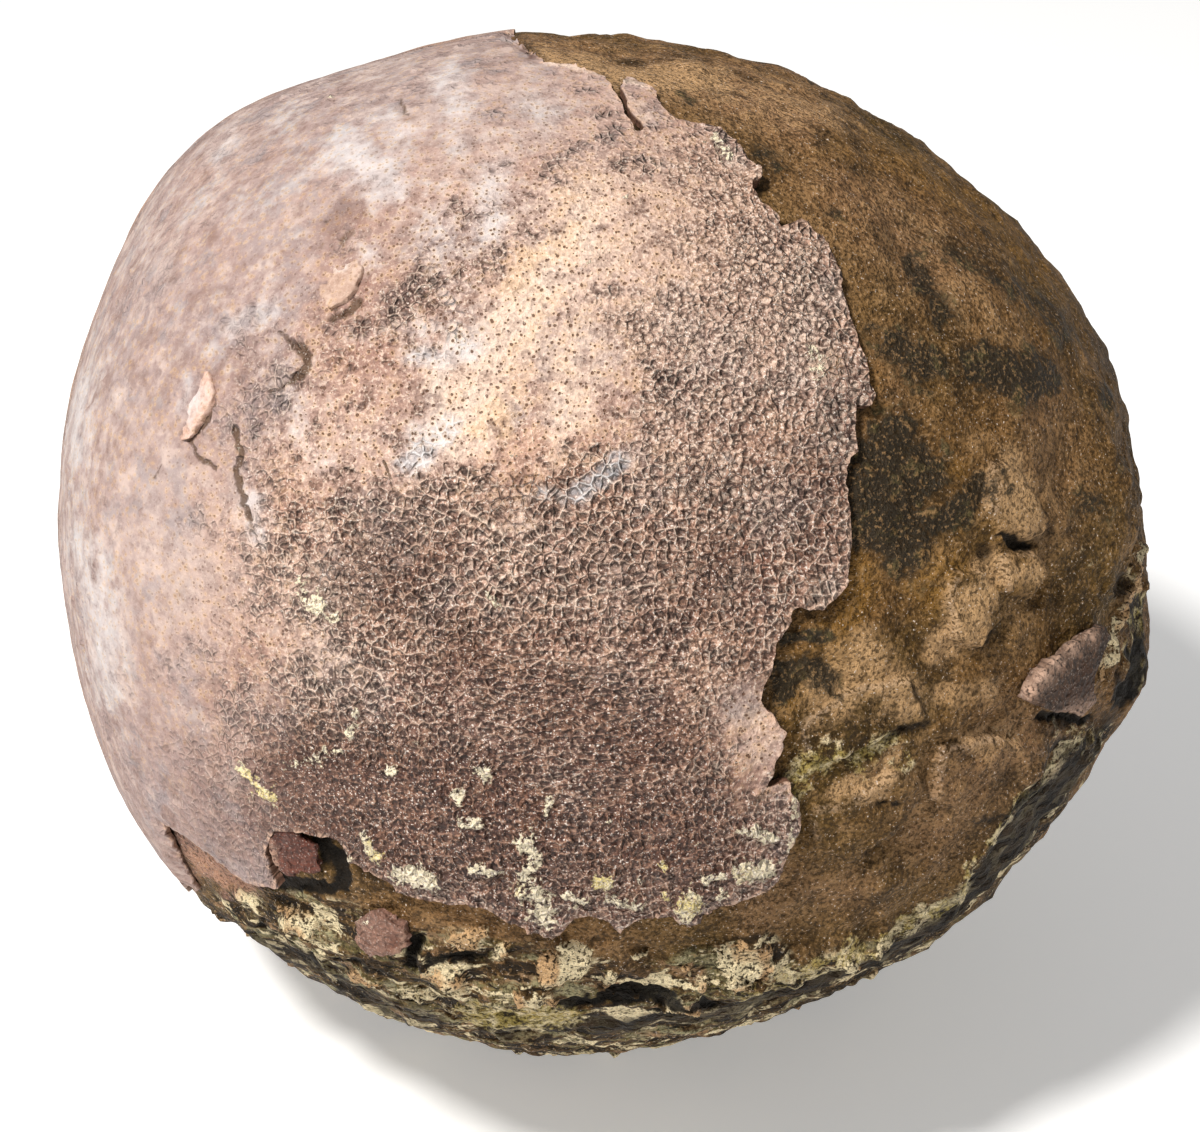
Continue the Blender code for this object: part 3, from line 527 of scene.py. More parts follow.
def sketched(points):
    """Front-sketch coordinates of points about the centre, and how far each faces the front."""
    scale = SKETCH_EYE / (SKETCH_EYE - points @ TO_EYE)
    facing = unit(points) @ TO_EYE - length(points) / SKETCH_EYE
    return np.stack((points[:, 0] * scale, (points @ SKETCH_UP) * scale), axis=1), facing


def placed(path, steps=STEPS_IN_MM):
    """Places of the front sketch as millimetres from its middle, in whole steps; up is positive."""
    flat = (np.array(path, float) - SKETCH_MIDDLE) * (SKETCH_UNIT, -SKETCH_UNIT)
    return np.round(flat * steps) / steps


def from_path(flat, path):
    """Distance from each flat point to a path of one point or more."""
    path = np.array(path, float)
    if len(path) == 1:
        return length(flat - path[0])
    near = np.full(len(flat), FAR_AWAY)
    for a, b in zip(path, path[1:]):
        along = b - a
        t = np.clip(((flat - a) @ along) / (along @ along), 0, 1)
        near = np.minimum(near, length(flat - a - t[:, None] * along))
    return near


def within(flat, outline):
    """Distance inside an outline, negative outside."""
    outline = np.array(outline, float)
    near = from_path(flat, np.concatenate((outline, outline[:1])))
    x, y = flat[:, 0], flat[:, 1]
    hit = np.zeros(len(flat), bool)
    for (x0, y0), (x1, y1) in zip(outline, np.roll(outline, -1, axis=0)):
        if y0 != y1:
            hit ^= ((y0 > y) != (y1 > y)) & (x < x0 + (y - y0) * (x1 - x0) / (y1 - y0))
    return np.where(hit, near, -near)


def painted(flat, facing, marks):
    """Strength of a set of painted marks, soft at their edges, on the front alone."""
    out = np.zeros(len(flat))
    for path, width, strength in marks:
        near = from_path(flat, placed(path)) / width
        out = np.maximum(out, strength * np.exp(-0.9 * near ** 2))
    return out * smooth(0.02, 0.12, facing)


def wandering(flat, points, far, size, seed):
    """Sketch places pushed about, so that what is painted there has an uneven outline."""
    push = np.stack([cloud(points, size, seed + step) for step in (0, 5)], axis=1)
    fine = np.stack([cloud(points, size * 0.3, seed + step, 2) for step in (11, 17)], axis=1)
    return flat + far * push + 0.4 * far * fine


# ---- form ---------------------------------------------------------------------------------------
def body_radius(d):
    """Outer surface of the whole egg in the directions d."""
    total = ((2.0 * d / BLANK) ** 2).sum(axis=1) ** (EDGE_SHARPNESS / 2)
    for normal, distance in SIDE_PLANES:
        total += (np.clip(d @ normal, 0.0, None) / distance) ** EDGE_SHARPNESS
    swelling = sum(h * knoll(length(d - mark) * REACH, w) for mark, w, h in SHOULDER_MARKS)
    slow = np.array([noise.noise(Vector(v)) for v in d * SWELL_RATE])
    return total ** (-1.0 / EDGE_SHARPNESS) + swelling + SWELL * slow


def on_front(x, y):
    """Direction of the point of the egg behind a point of the front sketch."""
    ray = unit(np.array((x, 0.0, 0.0)) + SKETCH_UP * y - TO_EYE * SKETCH_EYE)
    far = RAY_START + np.arange(RAY_STEPS) * RAY_STEP
    p = (TO_EYE * SKETCH_EYE)[None, :] + ray[None, :] * far[:, None]
    clear = length(p) - body_radius(unit(p))
    hits = np.nonzero(clear <= 0.0)[0]
    return unit(p[hits[0] if len(hits) else int(np.argmin(clear))][None, :])[0]


def along_front(path):
    """Directions of points spaced evenly along a path of millimetres in the front sketch."""
    ends = [on_front(x, y) for x, y in path]
    return np.array([a + (b - a) * t for a, b in zip(ends, ends[1:]) for t in np.linspace(0, 1, 6)])


def from_marks(d, marks):
    """Distance of each direction from the nearest of some marks, millimetres along the surface."""
    return np.min([length(d - mark) for mark in marks], axis=0) * REACH


def stone_relief(d):
    """Lumps, hollows and ridges of the bare sediment."""
    out = np.zeros(len(d))
    for path, width, height in RIDGES:
        out += height * knoll(from_marks(d, unit(along_front(path))), width)
    lumps = [(on_front(x, y), w, h) for x, y, w, h in LUMPS]
    lumps += [(heading(a, e), w, h) for a, e, w, h in REAR_LUMPS]
    for mark, width, height in lumps:
        out += height * knoll(length(d - mark) * REACH, width)
    return out


def flattened(d, axis):
    """Directions laid out flat round an axis, millimetres along the surface."""
    side = unit(np.cross(axis, (0, 0, 1)))
    up = np.cross(side, axis)
    far = np.arccos(np.clip(d @ axis, -1, 1)) * REACH
    x, y = d @ side, d @ up
    return np.stack((x, y), axis=-1) / np.maximum(np.hypot(x, y), 1e-9)[..., None] * far[..., None]


def add_skin(mesh, co):
    """Flat coordinates at every face corner: one chart for the front and one for the rest."""
    d = unit(co)
    corners = np.empty(len(mesh.loops), np.int32)
    mesh.loops.foreach_get("vertex_index", corners)
    starts = np.empty(len(mesh.polygons), np.int32)
    mesh.polygons.foreach_get("loop_start", starts)
    totals = np.diff(np.append(starts, len(corners)))
    middle = unit(np.add.reduceat(d[corners], starts, axis=0))
    front = middle @ TO_EYE + 0.06 * cloud(middle * REACH, 6.0, 401) > FRONT_CHART
    front = np.repeat(front, totals)[:, None]
    at = d[corners]
    flat = np.where(front, flattened(at, TO_EYE), flattened(at, REAR_AXIS) + REAR_CHART_PLACE)
    layer = mesh.attributes.new("skin", "FLOAT_VECTOR", "CORNER")
    layer.data.foreach_set("vector", np.pad(flat, ((0, 0), (0, 1))).astype(np.float32).ravel())


def out_of_focus(flat, facing):
    """How worn and soft the surface is: crisp at the middle of the front, soft far from it."""
    return smooth(CRISP_WITHIN, SOFT_BEYOND, length(flat - FOCUS)) * smooth(-0.1, 0.1, facing) * 0.9


class Cover:
    """Where the eggshell of the frame lies, asked by direction from the centre."""

    def __init__(self):
        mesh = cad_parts["eggshell"].data
        mesh.calc_loop_triangles()
        corners = [v.co.copy() for v in mesh.vertices]
        faces = [tuple(t.vertices) for t in mesh.loop_triangles]
        self.tree = BVHTree.FromPolygons(corners, faces)

    def __call__(self, directions):
        starts = (CENTRE + directions * CAST_FROM) * MM
        cast = self.tree.ray_cast
        return np.array([
            cast(Vector(s), Vector(-d), CAST_LENGTH)[0] is not None for s, d in zip(starts, directions)
        ], bool)


# ---- mesh helpers -------------------------------------------------------------------------------
def deselect():
    if bpy.context.object and bpy.context.object.mode != "OBJECT":
        bpy.ops.object.mode_set(mode="OBJECT")
    bpy.ops.object.select_all(action="DESELECT")


def pick(obj):
    deselect()
    bpy.context.view_layer.objects.active = obj
    obj.select_set(True)


def corners_of(mesh):
    co = np.empty(len(mesh.vertices) * 3)
    mesh.vertices.foreach_get("co", co)
    return co.reshape(-1, 3)


def set_corners(mesh, co):
    mesh.vertices.foreach_set("co", np.ascontiguousarray(co, float).ravel())
    mesh.update()


def triangles_of(mesh):
    mesh.calc_loop_triangles()
    out = np.empty(len(mesh.loop_triangles) * 3, np.int32)
    mesh.loop_triangles.foreach_get("vertices", out)
    return out.reshape(-1, 3)


def edges_of(mesh):
    edges = np.empty(len(mesh.edges) * 2, np.int32)
    mesh.edges.foreach_get("vertices", edges)
    return edges.reshape(-1, 2)


def add_blank(level):
    """A round blank in triangles, one unit in radius."""
    deselect()
    bpy.ops.mesh.primitive_ico_sphere_add(subdivisions=level, radius=1.0, location=(0, 0, 0))
    return bpy.context.active_object


def even_grid(level):
    """Directions spread evenly all round, and the pairs of them that are neighbours."""
    obj = add_blank(level)
    mesh = obj.data
    directions, edges = unit(corners_of(mesh)), edges_of(mesh)
    bpy.data.objects.remove(obj)
    bpy.data.meshes.remove(mesh)
    return directions, edges


def ball(name, zones):
    """A round blank, subdivided once more for each zone in turn."""
    obj = add_blank(BLANK_LEVEL)
    obj.name = name
    for zone in zones:
        co = unit(corners_of(obj.data))
        chosen = zone(unit(co[triangles_of(obj.data)].mean(axis=1)))
        pick(obj)
        bpy.ops.object.mode_set(mode="EDIT")
        bpy.ops.mesh.select_mode(type="FACE")
        bpy.ops.mesh.select_all(action="DESELECT")
        bpy.ops.object.mode_set(mode="OBJECT")
        obj.data.polygons.foreach_set("select", chosen)
        obj.data.update()
        bpy.ops.object.mode_set(mode="EDIT")
        bpy.ops.mesh.subdivide(number_cuts=1)
        bpy.ops.mesh.select_all(action="SELECT")
        bpy.ops.mesh.quads_convert_to_tris(quad_method="SHORTEST_DIAGONAL", ngon_method="BEAUTY")
        bpy.ops.object.mode_set(mode="OBJECT")
    return obj


def attribute(mesh, name, values):
    layer = mesh.attributes.get(name) or mesh.attributes.new(name, "FLOAT", "POINT")
    layer.data.foreach_set("value", np.ascontiguousarray(values, np.float32))


def finish_piece(obj, nodes, material, sharp=50.0):
    obj.data.materials.clear()
    obj.data.materials.append(material)
    if "UVMap" in obj.data.uv_layers:
        obj.data.uv_layers.remove(obj.data.uv_layers["UVMap"])
    pick(obj)
    bpy.ops.object.shade_smooth_by_angle(angle=math.radians(sharp))
    obj.matrix_world = Matrix.Identity(4)
    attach(obj, "root")
    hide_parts(*nodes)
    deselect()


# ---- materials ----------------------------------------------------------------------------------
class Flow:
    """One socket of a material; Python's own operators add the Math nodes."""

    def __init__(self, maker, socket):
        self.maker, self.socket = maker, socket

    def _math(self, operation, *values, clamp=False):
        settings = {"operation": operation, "use_clamp": clamp}
        return self.maker.node("ShaderNodeMath", settings, dict(enumerate(values)))["Value"]

    def __add__(self, other):
        return self._math("ADD", self, other)

    def __sub__(self, other):
        return self._math("SUBTRACT", self, other)

    def __rsub__(self, other):
        return self._math("SUBTRACT", other, self)

    def __mul__(self, other):
        return self._math("MULTIPLY", self, other)

    def lowest(self, other):
        return self._math("MINIMUM", self, other)

    def highest(self, other):
        return self._math("MAXIMUM", self, other)

    def clamp(self):
        return self._math("ADD", self, 0.0, clamp=True)

    def step(self, low, high):
        """0 below low, 1 above high, smooth between; falls where low is the larger."""
        settings = {"interpolation_type": "SMOOTHSTEP"}
        if low > high:
            return 1.0 - self.step(high, low)
        inputs = {"Value": self, "From Min": low, "From Max": high}
        return self.maker.node("ShaderNodeMapRange", settings, inputs)["Result"]

    __radd__, __rmul__ = __add__, __mul__


class Maker:
    """Builds one material's nodes."""

    def __init__(self, name):
        self.material = bpy.data.materials.new(name)
        self.material.use_nodes = True
        self.tree = self.material.node_tree
        self.tree.nodes.clear()

    def node(self, kind, settings=None, inputs=None):
        """A node of a kind, with its settings made first and then its sockets linked or filled."""
        made = self.tree.nodes.new(kind)
        for key, value in (settings or {}).items():
            setattr(made, key, value)
        for key, value in (inputs or {}).items():
            socket = made.inputs[key] if isinstance(key, int) else next(
                s for s in made.inputs if s.enabled and key in (s.name, s.identifier))
            if isinstance(value, Flow):
                self.tree.links.new(value.socket, socket)
            else:
                socket.default_value = value
        return Outputs(self, made)

    def blend(self, factor, a, b, mode="MIX"):
        """Colour a with colour b laid over it by factor."""
        a, b = (c if isinstance(c, Flow) else (*c[:3], 1.0) for c in (a, b))
        settings = {"data_type": "RGBA", "blend_type": mode, "clamp_factor": True}
        inputs = {"Factor_Float": factor, "A_Color": a, "B_Color": b}
        return self.node("ShaderNodeMix", settings, inputs)["Result_Color"]

    def places(self, squeeze=(1, 1, 1), turn=(0, 0, 0)):
        """The piece's own coordinates in millimetres, squeezed and turned if asked."""
        at = self.node("ShaderNodeTexCoord")["Object"]
        size = tuple(MM_IN_METRE * s for s in squeeze)
        inputs = {"Vector": at, "Scale": size, "Rotation": tuple(math.radians(t) for t in turn)}
        return self.node("ShaderNodeMapping", {"vector_type": "POINT"}, inputs)["Vector"]

    def shifted(self, vector, by, amount):
        """Coordinates pushed about by a soft colour pattern, so cells aren't regular."""
        inputs = {0: by, 1: (0.5, 0.5, 0.5)}
        centred = self.node("ShaderNodeVectorMath", {"operation": "SUBTRACT"}, inputs)[0]
        inputs = {0: centred, 1: (amount,) * 3, 2: vector}
        return self.node("ShaderNodeVectorMath", {"operation": "MULTIPLY_ADD"}, inputs)[0]

    def clouds(self, vector, size, detail=3.0, rough=0.55, output="Fac"):
        """Soft noise whose patches are about `size` across."""
        inputs = {"Vector": vector, "Scale": 1.0 / size, "Detail": detail, "Roughness": rough}
        return self.node("ShaderNodeTexNoise", {}, inputs)[output]

    def flat_cells(self, vector, size, feature="F1", output="Distance", spread=1.0):
        """Cells drawn on the surface's own flat chart, so every one is cut through its middle."""
        settings = {"feature": feature, "voronoi_dimensions": "2D"}
        inputs = {"Vector": vector, "Scale": 1.0 / size, "Randomness": spread}
        return self.node("ShaderNodeTexVoronoi", settings, inputs)[output]

    def holes(self, vector, size):
        """Distance from the middles of holes, each a little smaller or larger than the next."""
        own = self.flat_cells(vector, size, output="Color")
        big = self.node("ShaderNodeSeparateColor", {}, {"Color": own})["Red"]
        return self.flat_cells(vector, size) + big * 0.12

    def mapped(self, vector, squeeze=(1, 1, 1), turn=0.0, shift=(0, 0, 0)):
        """Coordinates squeezed, turned in the plane and moved."""
        turned = (0, 0, math.radians(turn))
        inputs = {"Vector": vector, "Scale": squeeze, "Rotation": turned, "Location": shift}
        return self.node("ShaderNodeMapping", {"vector_type": "POINT"}, inputs)["Vector"]

    def painted(self, name, output="Fac"):
        """A marking that the operators painted on the mesh."""
        return self.node("ShaderNodeAttribute", {"attribute_name": name})[output]

    def finish(self, colour, roughness, height, depth, strength, specular, **more):
        """The surface shader with its fine relief; gives the finished material."""
        inputs = {"Height": height, "Distance": depth, "Strength": strength}
        normal = self.node("ShaderNodeBump", {}, inputs)["Normal"]
        shader = self.node("ShaderNodeBsdfPrincipled", {}, {
            "Base Color": colour, "Roughness": roughness, "Normal": normal,
            "Specular IOR Level": specular, **more})
        self.node("ShaderNodeOutputMaterial", {}, {"Surface": shader["BSDF"]})
        return self.material


class Outputs:
    """The sockets that come out of a node, asked by name or number."""

    def __init__(self, maker, made):
        self.maker, self.made = maker, made

    def __getitem__(self, key):
        found = self.made.outputs
        socket = found[key] if isinstance(key, int) else next(
            s for s in found if s.enabled and key in (s.name, s.identifier))
        return Flow(self.maker, socket)


class Coats:
    """A colour with other colours laid over it, one after the other."""

    def __init__(self, maker, colour):
        self.maker, self.colour = maker, colour

    def lay(self, factor, colour, mode="MIX"):
        self.colour = self.maker.blend(factor, self.colour, colour, mode)


def shell_material(look, name="pitted_eggshell", body=None):
    """Shell with hollows, ridges, grains and open pores, stained, dusty and crusted in places."""
    m = Maker(name)
    at = m.places()
    skin = m.painted("skin", "Vector")
    drift = m.clouds(at, 2.4, 2.0, output="Color")
    shiver = m.clouds(at, 0.9, 1.0, output="Color")
    loose = m.shifted(m.shifted(skin, drift, 1.2), shiver, 0.4)
    worm = m.shifted(m.mapped(skin, (0.62, 1.2, 1.0), 8.0), drift, 0.9)
    loose_at = m.shifted(at, drift, 3.0)
    patchy = m.clouds(at, 7.0, 4.0, 0.62)
    mottle = m.clouds(at, 2.4, 4.0, 0.65)
    grain = m.clouds(at, 0.5, 2.0, 0.6)
    dust = m.clouds(at, 0.24, 1.0, 0.5)
    vary = (m.clouds(at, 3.6, 3.0, 0.6) * 2.6 - 0.8).clamp()

    calm = m.painted("calm")
    crisp = 1.0 - calm * 0.9
    pore_zone = (m.painted("pore") + (patchy - 0.5) * 1.7 + (mottle - 0.5) * 0.8).step(0.3, 0.75)
    cobble_zone = (m.painted("cobble") + (mottle - 0.5) * 1.5).step(0.35, 0.9)
    stray = m.clouds(m.places(turn=(10, 50, 0)), 12.0, 4.0, 0.6) - 0.5
    granule_zone = (m.painted("granule") + stray * 1.8 + (mottle - 0.5) * 0.8).step(0.2, 0.9)
    ripple_zone = m.painted("ripple").step(0.2, 0.8)
    side = m.painted("wall")
    rough = 1.0 - m.painted("plum") * 0.25

    # hollows a good millimetre across with worn ridges between, drawn out into ripples in places
    plain_share = 1.0 - ripple_zone
    near = m.flat_cells(loose, 1.3, spread=0.9) * plain_share + m.flat_cells(worm, 1.15) * ripple_zone
    wide = (m.flat_cells(loose, 1.3, "DISTANCE_TO_EDGE", spread=0.9) * plain_share
            + m.flat_cells(worm, 1.15, "DISTANCE_TO_EDGE") * ripple_zone)
    hollow_and_shade = (near + (grain - 0.5) * 0.2).step(0.46, 0.14)
    ridge = (wide + (grain - 0.5) * 0.2).step(0.27, 0.0)
    leather = (1.0 - pore_zone * 0.92) * (1.0 - granule_zone * 0.6) * crisp * (vary * 0.5 + 0.5) * rough
    # small close-set grains of two sizes, alone where the shell is darkest
    shaken = m.shifted(skin, shiver, 0.7)
    bead = m.flat_cells(shaken, 0.62).step(0.5, 0.1)
    knob = m.flat_cells(m.mapped(shaken, (1, 1, 1), 25.0), 1.05).step(0.45, 0.1)
    bead = bead.highest(knob * m.clouds(at, 1.8, 2.0).step(0.45, 0.6))
    beads = (granule_zone * 0.8 + 0.2) * crisp * (1.0 - pore_zone * 0.6) * (0.45 + vary * 0.55)
    # fine dark joints between flat grains
    joint = wide.step(0.13, 0.03) * cobble_zone
    # open pores, from two scatters of mixed size
    close = m.shifted(skin, shiver, 0.3)
    pits = m.holes(close, 1.15).lowest(m.holes(m.mapped(close, (1, 1, 1), 37.0, (17, 5, 0)), 1.4))
    pore = pits.step(0.18, 0.11) * pore_zone * (1.0 - calm * 0.85)
    halo = pits.step(0.4, 0.12) * pore_zone * mottle.step(0.4, 0.6)

    # base colours, from broad to narrow
    if body:
        coats = Coats(m, m.blend(patchy.step(0.35, 0.65), *body))
    else:
        broad = m.clouds(at, 26.0, 4.0)
        coats = Coats(m, m.blend(broad.step(0.35, 0.65), look.mauve, look.pink))
    coats.lay(patchy.step(0.42, 0.72) * 0.45, look.umber)
    hue = m.clouds(m.places(turn=(40, 0, 20)), 9.0, 4.0, 0.65)
    coats.lay(hue.step(0.5, 0.66) * 0.5, look.rust)
    coats.lay(hue.step(0.48, 0.34) * 0.5, look.slate)
    # pale shell, with a painted pool of light round the top middle
    coats.lay(m.painted("pale") * (0.35 + 0.9 * patchy), look.pale)
    rust = (m.painted("rust") + (mottle - 0.5) * 0.9).step(0.15, 1.0)
    coats.lay(rust * 0.75, look.rust)
    # plum staining, with painted shade over the lower half
    plum = (m.painted("plum") + (patchy - 0.5) * 0.9).step(0.1, 1.0)
    coats.lay(plum * 0.6, look.plum)
    ochre = (m.painted("ochre") + (mottle - 0.5) * 1.3 + (patchy - 0.5) * 1.6).step(0.25, 1.15)
    coats.lay(ochre * 0.8, look.cream)
    yellow = (m.painted("yellow") + (mottle - 0.5) * 1.5).step(0.3, 1.1)
    coats.lay(yellow * 0.45, look.yellow)
    slate = (m.painted("slate") + (mottle - 0.5) * 1.4 + (patchy - 0.5) * 0.8).step(0.25, 1.1)
    coats.lay(slate * 0.55, look.slate)
    coats.lay(granule_zone * 0.22, look.tan)
    coats.lay(mottle.step(0.46, 0.66) * 0.45, look.tan)
    coats.lay(mottle.step(0.52, 0.34) * (1.0 - ochre * 0.7) * 0.5, look.umber)
    coats.lay((patchy * 0.6 + mottle * 0.4).step(0.56, 0.68) * 0.4, look.pale)
    dull = (patchy * 0.5 + mottle * 0.5).step(0.46, 0.36)
    coats.lay(dull * (1.0 - ochre * 0.8) * 0.5, look.plum)
    # the fine pattern: dark hollows and light ridges and grains, as painted shade and painted highlight;
    # specks of both everywhere
    coats.lay(hollow_and_shade * leather * 0.95, look.gap)
    coats.lay(ridge.step(0.35, 0.95) * leather * grain.step(0.4, 0.56) * 0.85, look.crest)
    coats.lay(bead.step(0.5, 0.0) * beads * 0.35, look.umber)
    coats.lay(bead.step(0.4, 1.0) * beads * 0.45, look.crest)
    coats.lay(cobble_zone * wide.step(0.14, 0.3) * 0.3, look.crest)
    coats.lay(joint * 0.85, look.gap)
    clean = 1.0 - pore_zone * 0.6
    coats.lay(grain.step(0.5, 0.38) * crisp * clean * 0.65, look.gap)
    coats.lay(grain.step(0.54, 0.68) * crisp * 0.5, look.crest)
    soft = m.clouds(loose_at, 5.0, 3.0, 0.55)
    coats.lay(calm * 0.72, look.film)
    coats.lay(calm * soft.step(0.54, 0.66) * 0.5, look.pale)
    coats.lay(calm * soft.step(0.46, 0.34) * 0.35, look.umber)
    fuzz = m.clouds(at, 1.9, 4.0, 0.65)
    coats.lay(calm * fuzz.step(0.5, 0.36) * 0.32, look.umber)
    coats.lay(calm * fuzz.step(0.53, 0.66) * 0.28, look.pale)
    coats.lay(calm * m.clouds(loose_at, 6.0, 3.0, 0.6).step(0.54, 0.64) * 0.4, look.slate)
    if body:
        blotch = (patchy * 0.3 + mottle * 0.3 + grain * 0.4).step(0.4, 0.6)
        coats.lay(0.94, m.blend(blotch, *body))
    film = (m.painted("haze") + (mottle - 0.5) * 1.5 + (patchy - 0.5) * 1.5).step(0.2, 1.25)
    coats.lay(film * 0.6, look.haze)
    net = (m.painted("net") + (mottle - 0.5) * 1.2).step(0.35, 0.9)
    coats.lay(net * (wide.step(0.2, 0.0) * 0.5 + 0.25), look.haze)
    coats.lay(net * hollow_and_shade * 0.4, look.slate)
    coats.lay(halo * 0.35, look.yellow)
    coats.lay(pore * 0.9, look.pore)
    # brown dirt in cracks and pits, and painted shadow along raised edges
    dirt_and_shade = (m.painted("dirt_and_shade") + (grain - 0.5) * 0.5 + (mottle - 0.5) * 0.5).step(0.3, 0.8)
    coats.lay(dirt_and_shade * 0.85, look.dirt_and_shade)
    # painted shade: the plum-stained parts and the lower half darkened by a tint
    shade = (m.painted("plum") + (patchy - 0.5) * 1.2 + (mottle - 0.5) * 0.6).step(0.1, 1.1)
    coats.lay(shade * 0.85, look.stain_and_shade_tint, "MULTIPLY")
    # tiny glints of clean calcite
    glint = dust.step(0.59, 0.68) * grain.step(0.44, 0.52) * crisp * (1.0 - hollow_and_shade * 0.6) * clean
    coats.lay(glint * 0.8, look.glint)
    vein = (m.painted("vein") + (grain - 0.5) * 0.9).step(0.35, 0.9)
    coats.lay(vein * 0.6, look.crest)
    crust = (m.painted("crust") + (grain - 0.5) * 1.5 + (mottle - 0.5) * 2.2).step(0.56, 0.8)
    crust_colour = m.blend(m.painted("sulphur").step(0.2, 0.8) * 0.75, look.crust, look.sulphur)
    crust_colour = m.blend(grain.step(0.48, 0.38) * 0.7, crust_colour, look.umber)
    crust_colour = m.blend(dust.step(0.52, 0.64) * 0.6, crust_colour, look.glint)
    coats.lay(crust * 0.92, crust_colour)
    # broken side, and its worn lip with a painted highlight
    coats.lay(m.painted("lip_wear_and_highlight") * grain.step(0.3, 0.52) * 0.85, look.lip_wear_and_highlight)
    wall_colour = m.blend(grain.step(0.4, 0.6), look.umber, look.broken)
    coats.lay(side.step(0.05, 0.3), wall_colour)
    # painted shade, near-black, on the broken side along the dark lines
    coats.lay((dirt_and_shade * side.step(0.02, 0.2)) * 0.95, look.shade_black)

    height = (
        0.8 * ridge * leather - 0.6 * hollow_and_shade * leather + 0.2 * bead * beads - 0.18 * joint - 0.12 * pore
        + 0.4 * mottle + 0.28 * crisp * grain + 0.05 * crisp * dust + 0.1 * vein - 0.25 * dirt_and_shade
        + 0.4 * crust * grain + 0.08 * net * ridge
    )
    roughness = (0.45 + grain * 0.3 + crust * 0.2 + film * 0.15 + calm * 0.25).clamp()
    return m.finish(coats.colour, roughness, height, look.grain_depth, 1.0, 0.4)


